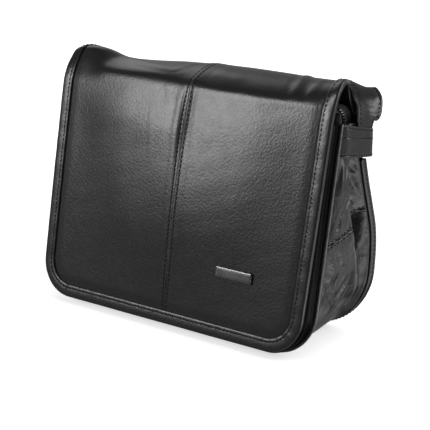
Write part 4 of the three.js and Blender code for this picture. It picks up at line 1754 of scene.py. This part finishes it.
@dataclass(frozen=True)
class Strap(SubAssembly):
    """The flat strap with its stitched edges and the tabs that hold its ends.

    Rows of the two ends give x, y and z of the strap's middle, its turn (0 where its width lies along Y and
    90 where it lies along X), its tilt (which raises the front or inner edge) and its width.

    Attributes:
        width: Width of the strap.
        thickness: Thickness of the strap.
        row_inset: From the strap's edge to its stitches.
        steps: Rings between two stops of the route.
        tab_leather: Thickness of the tabs.
        tab_path: Outer face and lower and upper edge of a tab, by the distance from its front edge.
        tab_rows: Heights of the rows of stitches on a tab, as shares of its height.
        right_end: Stops from the right tab, over the back and down to the surface.
        lying: Stops on the surface, in x and y.
        left_end: Stops from the surface up to the left tab.
    """

    width: float = 26.0
    thickness: float = 2.6
    row_inset: float = 3.2
    steps: int = 12
    tab_leather: float = 2.0
    tab_path: SmoothTable = SmoothTable(
        (0, 5, 10, 22, 34, 41, 46, 49.2),
        {
            "x": (147.6, 150.8, 152.3, 152.9, 152.7, 152.4, 151.2, 148.5),
            "y": (-9.8, -5, 0, 12, 24, 31, 35.8, 37.6),
            "low": (168, 167.2, 166.5, 164.8, 163, 162, 161.2, 161),
            "high": (196, 194.9, 193.8, 191, 188.2, 186.6, 185.6, 185.2),
        },
    )
    tab_rows: tuple[float, ...] = (0.09, 0.64, 0.92)
    right_end: tuple[tuple[float, ...], ...] = (
        (148.7, 19, 167, -3, 13, 19), (148.7, 22.4, 177, -3, 13, 20.5), (148.6, 26.8, 188, -4, 13, 24.5),
        (149, 28.4, 197.5, 4, 11, 26.5), (145.9, 35.8, 204.8, 21, 9, 27.5), (141.5, 40.6, 212, 40, 15, 27),
        (133.1, 44, 217.5, 57, 23, 26), (129.5, 49.5, 214.5, 66, 19, 26), (126, 54.5, 206, 76, 10, 26),
        (122, 57.5, 190, 84, 5, 26), (107, 60.5, 140, 90, 0, 26), (90, 63, 85, 90, 0, 26),
        (75, 66, 40, 90, 0, 26), (67, 75, 14, 90, 0, 26), (63, 87, 4.4, 90, 0, 26), (61, 102, 1.7, 90, 0, 26),
    )
    lying: tuple[tuple[float, float], ...] = (
        (57, 138), (36, 180), (-12, 207), (-75, 213), (-132, 198), (-164, 165), (-163, 132),
    )
    left_end: tuple[tuple[float, ...], ...] = (
        (-154, 104, 1.7, 90, 0, 26), (-148, 87, 4.4, 90, 0, 26), (-144, 75, 14, 90, 0, 26),
        (-141, 66, 40, 90, 0, 26), (-139, 62, 85, 90, 0, 26), (-138, 59, 130, 90, 0, 26),
        (-136, 56.5, 165, 90, 0, 26), (-135, 52.5, 186, 82, 3, 26), (-136.5, 47, 197, 70, 6, 26),
        (-140.5, 41.5, 201.5, 50, 8, 26), (-145.5, 36, 200, 25, 9, 25), (-148.6, 28, 196.5, 4, 11, 22),
        (-148.5, 21.9, 188, -4, 13, 19), (-148.7, 20.7, 177, -3, 13, 19), (-148.7, 19, 167, -3, 13, 19),
    )

    def route(self) -> tuple[Grid, Grid, Grid]:
        """Follows the strap from the right tab to the left one.

        Returns:
            Its middle line, its whole width as vectors and the way its thickness runs.
        """
        lying = [(x, y, self.thickness / 2 + 0.2, 90, 0, self.width) for x, y in self.lying]
        stops = np.array([*self.right_end, *lying, *self.left_end], float)
        last = len(stops) - 1
        at = np.linspace(0, last, last * self.steps + 1)
        middle = rounded_route(np.repeat(stops[None, :, :3], len(at), axis=0), at / last)
        along = unit(np.gradient(middle, axis=0))
        names = ("turn", "tilt", "width")
        columns = {name: tuple(column) for name, column in zip(names, stops[:, 3:].T)}
        turn, tilt, width = SmoothTable(tuple(range(len(stops))), columns).read(at, *names)
        side = np.where(at > last / 2, -1.0, 1.0)
        turn, tilt = np.radians(turn), np.radians(tilt)
        aside = stacked(-side * np.sin(turn), -np.cos(turn), np.tan(tilt))
        floor = (at > len(self.right_end) - 1) & (at < len(self.right_end) + len(self.lying))
        aside[floor] = np.cross([0.0, 0.0, 1.0], along[floor])
        aside = unit(aside - along * np.sum(aside * along, axis=1, keepdims=True))
        return middle, aside * width[:, None], np.cross(aside, along)

    def section(self) -> Grid:
        """Draws the strap's section, with rounded edges and a groove for each row of stitches.

        Returns:
            Rows of a share of the strap's width and a height.
        """
        half, up = self.width / 2, self.thickness / 2
        row = half - self.row_inset
        side = [
            (half, 0.0), (half - 0.15, 0.55 * up), (half - 0.6, 0.9 * up), (half - 1.4, up), (row + 0.8, up),
            (row, up - 0.3), (row - 0.8, up), (0.5 * row, up),
        ]
        top = [(-s, t) for s, t in side] + [(0.0, up)] + side[::-1]
        return np.array(top + [(s, -t) for s, t in top[-2:0:-1]]) / np.array([self.width, 1.0])

    def build_strap(self) -> bpy.types.Object:
        """Makes the strap in one piece.

        Returns:
            The piece.
        """
        middle, aside, face = (line[:, None] for line in self.route())
        section = self.section()
        piece = band_piece("strap_leather", middle + aside * section[:, :1] + face * section[:, 1:])
        # A painted highlight along both edges of the strap.
        edge = ramp(np.abs(section[:, 0]) * self.width, self.width / 2 - 0.9, self.width / 2 - 0.2)
        return self.smooth_piece(piece, "strap", np.tile(0.75 * edge, len(middle)))

    def build_strap_stitches(self) -> bpy.types.Object:
        """Sews both edges of the strap, seen on both faces.

        Returns:
            The stitches as one piece.
        """
        middle, aside, face = self.route()
        row, up = 0.5 - self.row_inset / self.width, self.thickness / 2
        lifts = (0.1 - up, up - 0.4)
        rows = [middle + aside * side * row + face * lift for side in Side for lift in lifts]
        return self.finishes.sew("strap_stitches", rows)

    def on_tab(self, side: Side, along: Grid, height: Grid | float, lift: float = 0.0) -> Grid:
        """Gives points over a tab's face.

        Args:
            side: Which tab.
            along: Distances from the tab's front edge.
            height: Shares of its height, from the lower edge (0) to the upper one (1).
            lift: Height over the leather.

        Returns:
            The points.
        """
        step = 0.4
        x, y, low, high = self.tab_path.read(along, "x", "y", "low", "high")
        after, before = (stacked(*self.tab_path.read(along + by, "y", "x")) for by in (step, -step))
        out = lift * unit((after - before) * (1, -1))
        return stacked(side * (x + out[..., 0]), y + out[..., 1], low + (high - low) * height)

    def build_tab(self, side: Side) -> bpy.types.Object:
        """Makes one tab.

        Args:
            side: Which side.

        Returns:
            The tab.
        """
        along, height = np.meshgrid(np.linspace(0, self.tab_path.keys[-1], 45)[::side], np.linspace(0, 1, 66))
        grid = self.on_tab(side, along, height)
        tall = self.tab_path.columns["high"][0] - self.tab_path.columns["low"][0]
        grooves = sum(0.2 * bell((height - row) * tall, 0.6) for row in self.tab_rows)
        grid[..., 0] += side * (0.2 * swells(along, height * tall, 24, 43) - grooves)
        # A painted highlight along the tab's edges.
        rim = np.zeros(grid.shape[:2])
        rim[[0, -1]] = 0.7
        rim[:, [0, -1]] = 0.5
        name = f"strap_tab_{side.word}"
        return self.smooth_piece(sheet_piece(name + "_leather", grid, self.tab_leather), name, rim)

    def build_tab_stitches(self) -> bpy.types.Object:
        """Sews the rows across both tabs.

        Returns:
            The stitches as one piece.
        """
        along = np.linspace(1.5, self.tab_path.keys[-1] - 4, 60)
        rows = [self.on_tab(side, along, height) for side in Side for height in self.tab_rows]
        return self.finishes.sew("tab_stitches", rows, pitch=3.6)

    def build(self) -> None:
        """Makes the strap, its tabs and their stitches."""
        self.build_strap()
        self.build_strap_stitches()
        self.build_tab(Side.RIGHT)
        self.build_tab(Side.LEFT)
        self.build_tab_stitches()


@dataclass(frozen=True)
class Plate(SubAssembly):
    """The bare metal plate on the flap, with a softly bevelled edge.

    Attributes:
        width: Its width.
        height: Its height.
        corner: Radius of its corners.
        x: Its middle across the bag.
        rise: Its middle, up the flap from the foot.
        stand: From the leather to its underside.
        levels: How far each of its rings is drawn in, and the ring's height over the underside.
    """

    width: float = 38.0
    height: float = 9.6
    corner: float = 0.8
    x: float = 72.0
    rise: float = 57.3
    stand: float = 1.05
    levels: tuple[tuple[float, float], ...] = (
        (0.15, 0.0), (0.0, 0.2), (0.0, 0.75), (0.12, 1.0), (0.4, 1.2), (0.9, 1.28), (3.0, 1.3),
    )

    def outline(self, inset: float) -> Grid:
        """Draws the plate's rounded rectangle.

        Args:
            inset: How far it is drawn in.

        Returns:
            Points in the plate's own plane.
        """
        radius = max(self.corner - inset, 0.3)
        half = np.array([self.width, self.height]) / 2 - inset - radius
        corners = []
        for turn, signs in enumerate(((1, 1), (-1, 1), (-1, -1), (1, -1))):
            bend = np.linspace(0, QUARTER, 7) + turn * QUARTER
            corners.append(half * signs + radius * stacked(np.cos(bend), np.sin(bend)))
        return np.concatenate(corners)

    def build(self) -> bpy.types.Object:
        """Makes the plate.

        Returns:
            The plate.
        """
        middle, out = self.form.flap_point(self.x, self.rise), self.form.flap_normal(self.x, self.rise)
        across = np.array([1.0, 0.0, 0.0])
        sides = np.stack([across, np.cross(out, across)])
        rings = [middle + self.outline(inset) @ sides + out * (self.stand + up) for inset, up in self.levels]
        return settle(band_piece("badge_plate", np.stack(rings)), Slot.NICKEL, self.finishes.plate, "badge")


# Studio


def hang(data: bpy.types.ID, place: Place, aim: Place) -> bpy.types.Object:
    """Hangs a lamp or a camera and turns it to a point.

    Args:
        data: The lamp or camera.
        place: Where it hangs, in metres.
        aim: The point that it faces.

    Returns:
        Its object.
    """
    hung = add_object(data.name, data)
    hung.location = place
    hung.rotation_euler = (Vector(aim) - Vector(place)).to_track_quat("-Z", "Y").to_euler()
    return hung


@dataclass(frozen=True)
class SoftBox:
    """A soft light aimed at the bag, with places in metres.

    Attributes:
        name: The light's name.
        place: Where its middle hangs.
        width: Its width.
        height: Its height.
        power: Its power in watts.
        mirrored: Whether glossy surfaces mirror it.
        aim: The point that it faces.
    """

    name: str
    place: Place
    width: float
    height: float
    power: float
    mirrored: bool = True
    aim: Place = (0.0, 0.0, 0.12)

    def build(self) -> None:
        """Hangs the light."""
        lamp = bpy.data.lights.new(self.name, "AREA")
        lamp.shape = "RECTANGLE"
        lamp.size = self.width
        lamp.size_y = self.height
        lamp.energy = self.power
        light = hang(lamp, self.place, self.aim)
        light.visible_camera = False
        light.visible_glossy = self.mirrored


@dataclass(frozen=True)
class Studio:
    """The pale floor, the lights and the camera, in metres.

    Attributes:
        camera: The camera's place.
        aim: The point that it looks at.
        lens: Focal length on a sensor 36 mm wide.
        lights: The soft lights.
        tables: Half the width of each bright sheet that the leather mirrors, its brightness and its middle.
        table_step: Height of each bright sheet over the one before.
        room: Brightness of the room in front and behind, and the share of it that comes from below.
        floor_half: Half the floor's width.
        floor_glow: Brightness that the floor has of its own near the bag.
        floor_shade: Share of the light that the floor throws back.
    """

    camera: Place = (0.7742, -0.9771, 0.4487)
    aim: Place = (0.0108, 0.0, 0.0931)
    lens: float = 120.64
    lights: tuple[SoftBox, ...] = (
        SoftBox("front_light", (-0.93, -1.24, 0.70), 0.45, 0.8, 13.0),
        SoftBox("side_light", (1.45, 0.55, 0.30), 0.6, 0.5, 4.0),
        SoftBox("high_light", (1.2, 0.62, 0.92), 0.8, 0.3, 5.0),
        SoftBox("back_light", (-0.62, 0.32, 0.66), 0.4, 0.5, 0.55),
        SoftBox("overhead", (0.4, 0.3, 1.7), 2.4, 2.4, 24.0, mirrored=False),
    )
    tables: tuple[tuple[float, float, tuple[float, float]], ...] = (
        (0.5, 0.2, (-0.35, -0.45)),
        (0.28, 0.85, (0.49, 0.14)),
        (0.06, 3.0, (0.29, 0.01)),
        (0.04, 0.6, (0.18, 0.02)),
        (0.09, 5.0, (0.42, -0.19)),
    )
    table_step: float = 0.0002
    room: Place = (0.1, 0.5, 0.2)
    floor_half: float = 4.0
    floor_glow: float = 0.62
    floor_shade: float = 0.75

    def build_camera(self) -> None:
        """Sets up the camera."""
        data = bpy.data.cameras.new("camera")
        data.lens = self.lens
        data.sensor_width = 36.0
        bpy.context.scene.camera = hang(data, self.camera, self.aim)

    def lay_sheet(self, name: str, half: float, shade: float, glow: tuple[float, float]) -> bpy.types.Object:
        """Lays a pale square sheet on the ground.

        Args:
            name: The sheet's name.
            half: Half its width.
            shade: Share of the light that it throws back.
            glow: Brightness of its own near the bag and far from it.

        Returns:
            The sheet.
        """
        corners = np.array([(-1, -1, 0), (1, -1, 0), (1, 1, 0), (-1, 1, 0)], float)
        sheet = new_piece(name, corners * half / MM, [(0, 1, 2, 3)])
        recipe = Recipe(name)
        away = recipe.add("ShaderNodeVectorMath", {"operation": "LENGTH"}, {0: recipe.place()}, "Value")
        glowing = recipe.mix(away.ramp(0.3, 1.0), *glow)
        inputs = {"Roughness": 0.9, "Emission_Color": glowing, "Emission_Strength": 1.0}
        dress(sheet, recipe.shade_with(Base_Color=colour(shade), **inputs))
        return sheet

    def build_floor(self) -> None:
        """Lays the wide floor that shows, and the smaller bright sheets that only the leather mirrors."""
        floor = self.lay_sheet("floor", self.floor_half, self.floor_shade, (self.floor_glow, 1.0))
        floor.visible_glossy = False
        for k, (half, glow, middle) in enumerate(self.tables):
            mirrored = self.lay_sheet("table_sheet", half, 0.0, (glow, glow))
            mirrored.location = (*middle, self.table_step * k)
            mirrored.visible_camera = False
            mirrored.visible_diffuse = False
            mirrored.visible_shadow = False

    def build_world(self) -> None:
        """Surrounds the studio with white for the eye, and for the light a room that is brighter behind."""
        world = bpy.data.worlds.new("studio")
        world.use_nodes = True
        bpy.context.scene.world = world
        nodes = Nodes(world.node_tree)
        front, behind, below = self.room
        way = nodes.add("ShaderNodeSeparateXYZ", {}, {0: nodes.add("ShaderNodeTexCoord", result="Generated")})
        inputs = {"Value": way.beside("Y"), "To Min": front, "To Max": behind}
        depth = nodes.add("ShaderNodeMapRange", {}, inputs)
        inputs = {"Value": way.beside("Z"), "From Min": -0.5, "From Max": -0.1, "To Min": below}
        low = nodes.add("ShaderNodeMapRange", {}, inputs)
        seen = nodes.add("ShaderNodeLightPath", result="Is Camera Ray")
        inputs = {"Value": seen, "To Min": depth * low, "To Max": 1.0}
        level = nodes.add("ShaderNodeMapRange", {}, inputs)
        sky = world.node_tree.nodes["Background"]
        nodes.feed(sky.inputs["Strength"], level)
        nodes.feed(sky.inputs["Color"], colour(1.0))

    def build(self) -> None:
        """Sets the whole studio up."""
        bpy.context.scene.view_settings.view_transform = "Standard"
        self.build_camera()
        self.build_floor()
        self.build_world()
        for light in self.lights:
            light.build()


def main() -> None:
    """Builds the studio and every piece of the bag."""
    logging.basicConfig(level=logging.INFO, format="%(name)s %(message)s")
    Studio().build()
    form = Form()
    soft = LeatherFinish("soft_black_leather", gloss_roughness=0.28, wrinkle=0.009, wrinkle_depth=0.0002)
    finishes = Finishes(
        smooth=LeatherFinish("smooth_black_leather").material(),
        soft=soft.material(),
        # Painted shade: darker dye and weak reflections for the recesses under the flap.
        dull=LeatherFinish("dull_black_leather", dye=0.004, polish=0.0, shine=0.1).material(),
        thread=ThreadFinish().material(),
        plate=NickelFinish("dark_nickel").material(),
        teeth_metal=NickelFinish("bright_nickel", 0.5, 0.24).material(),
        tape=TapeFinish().material(),
        stitches=stitch_pattern(),
        teeth=tooth_pattern(),
    )
    for part in (Flap, Pocket, Body, Zip, Strap, Plate):
        part(form, finishes).build()
        log.info("built %s", part.__name__)


if __name__ == "__main__":
    main()
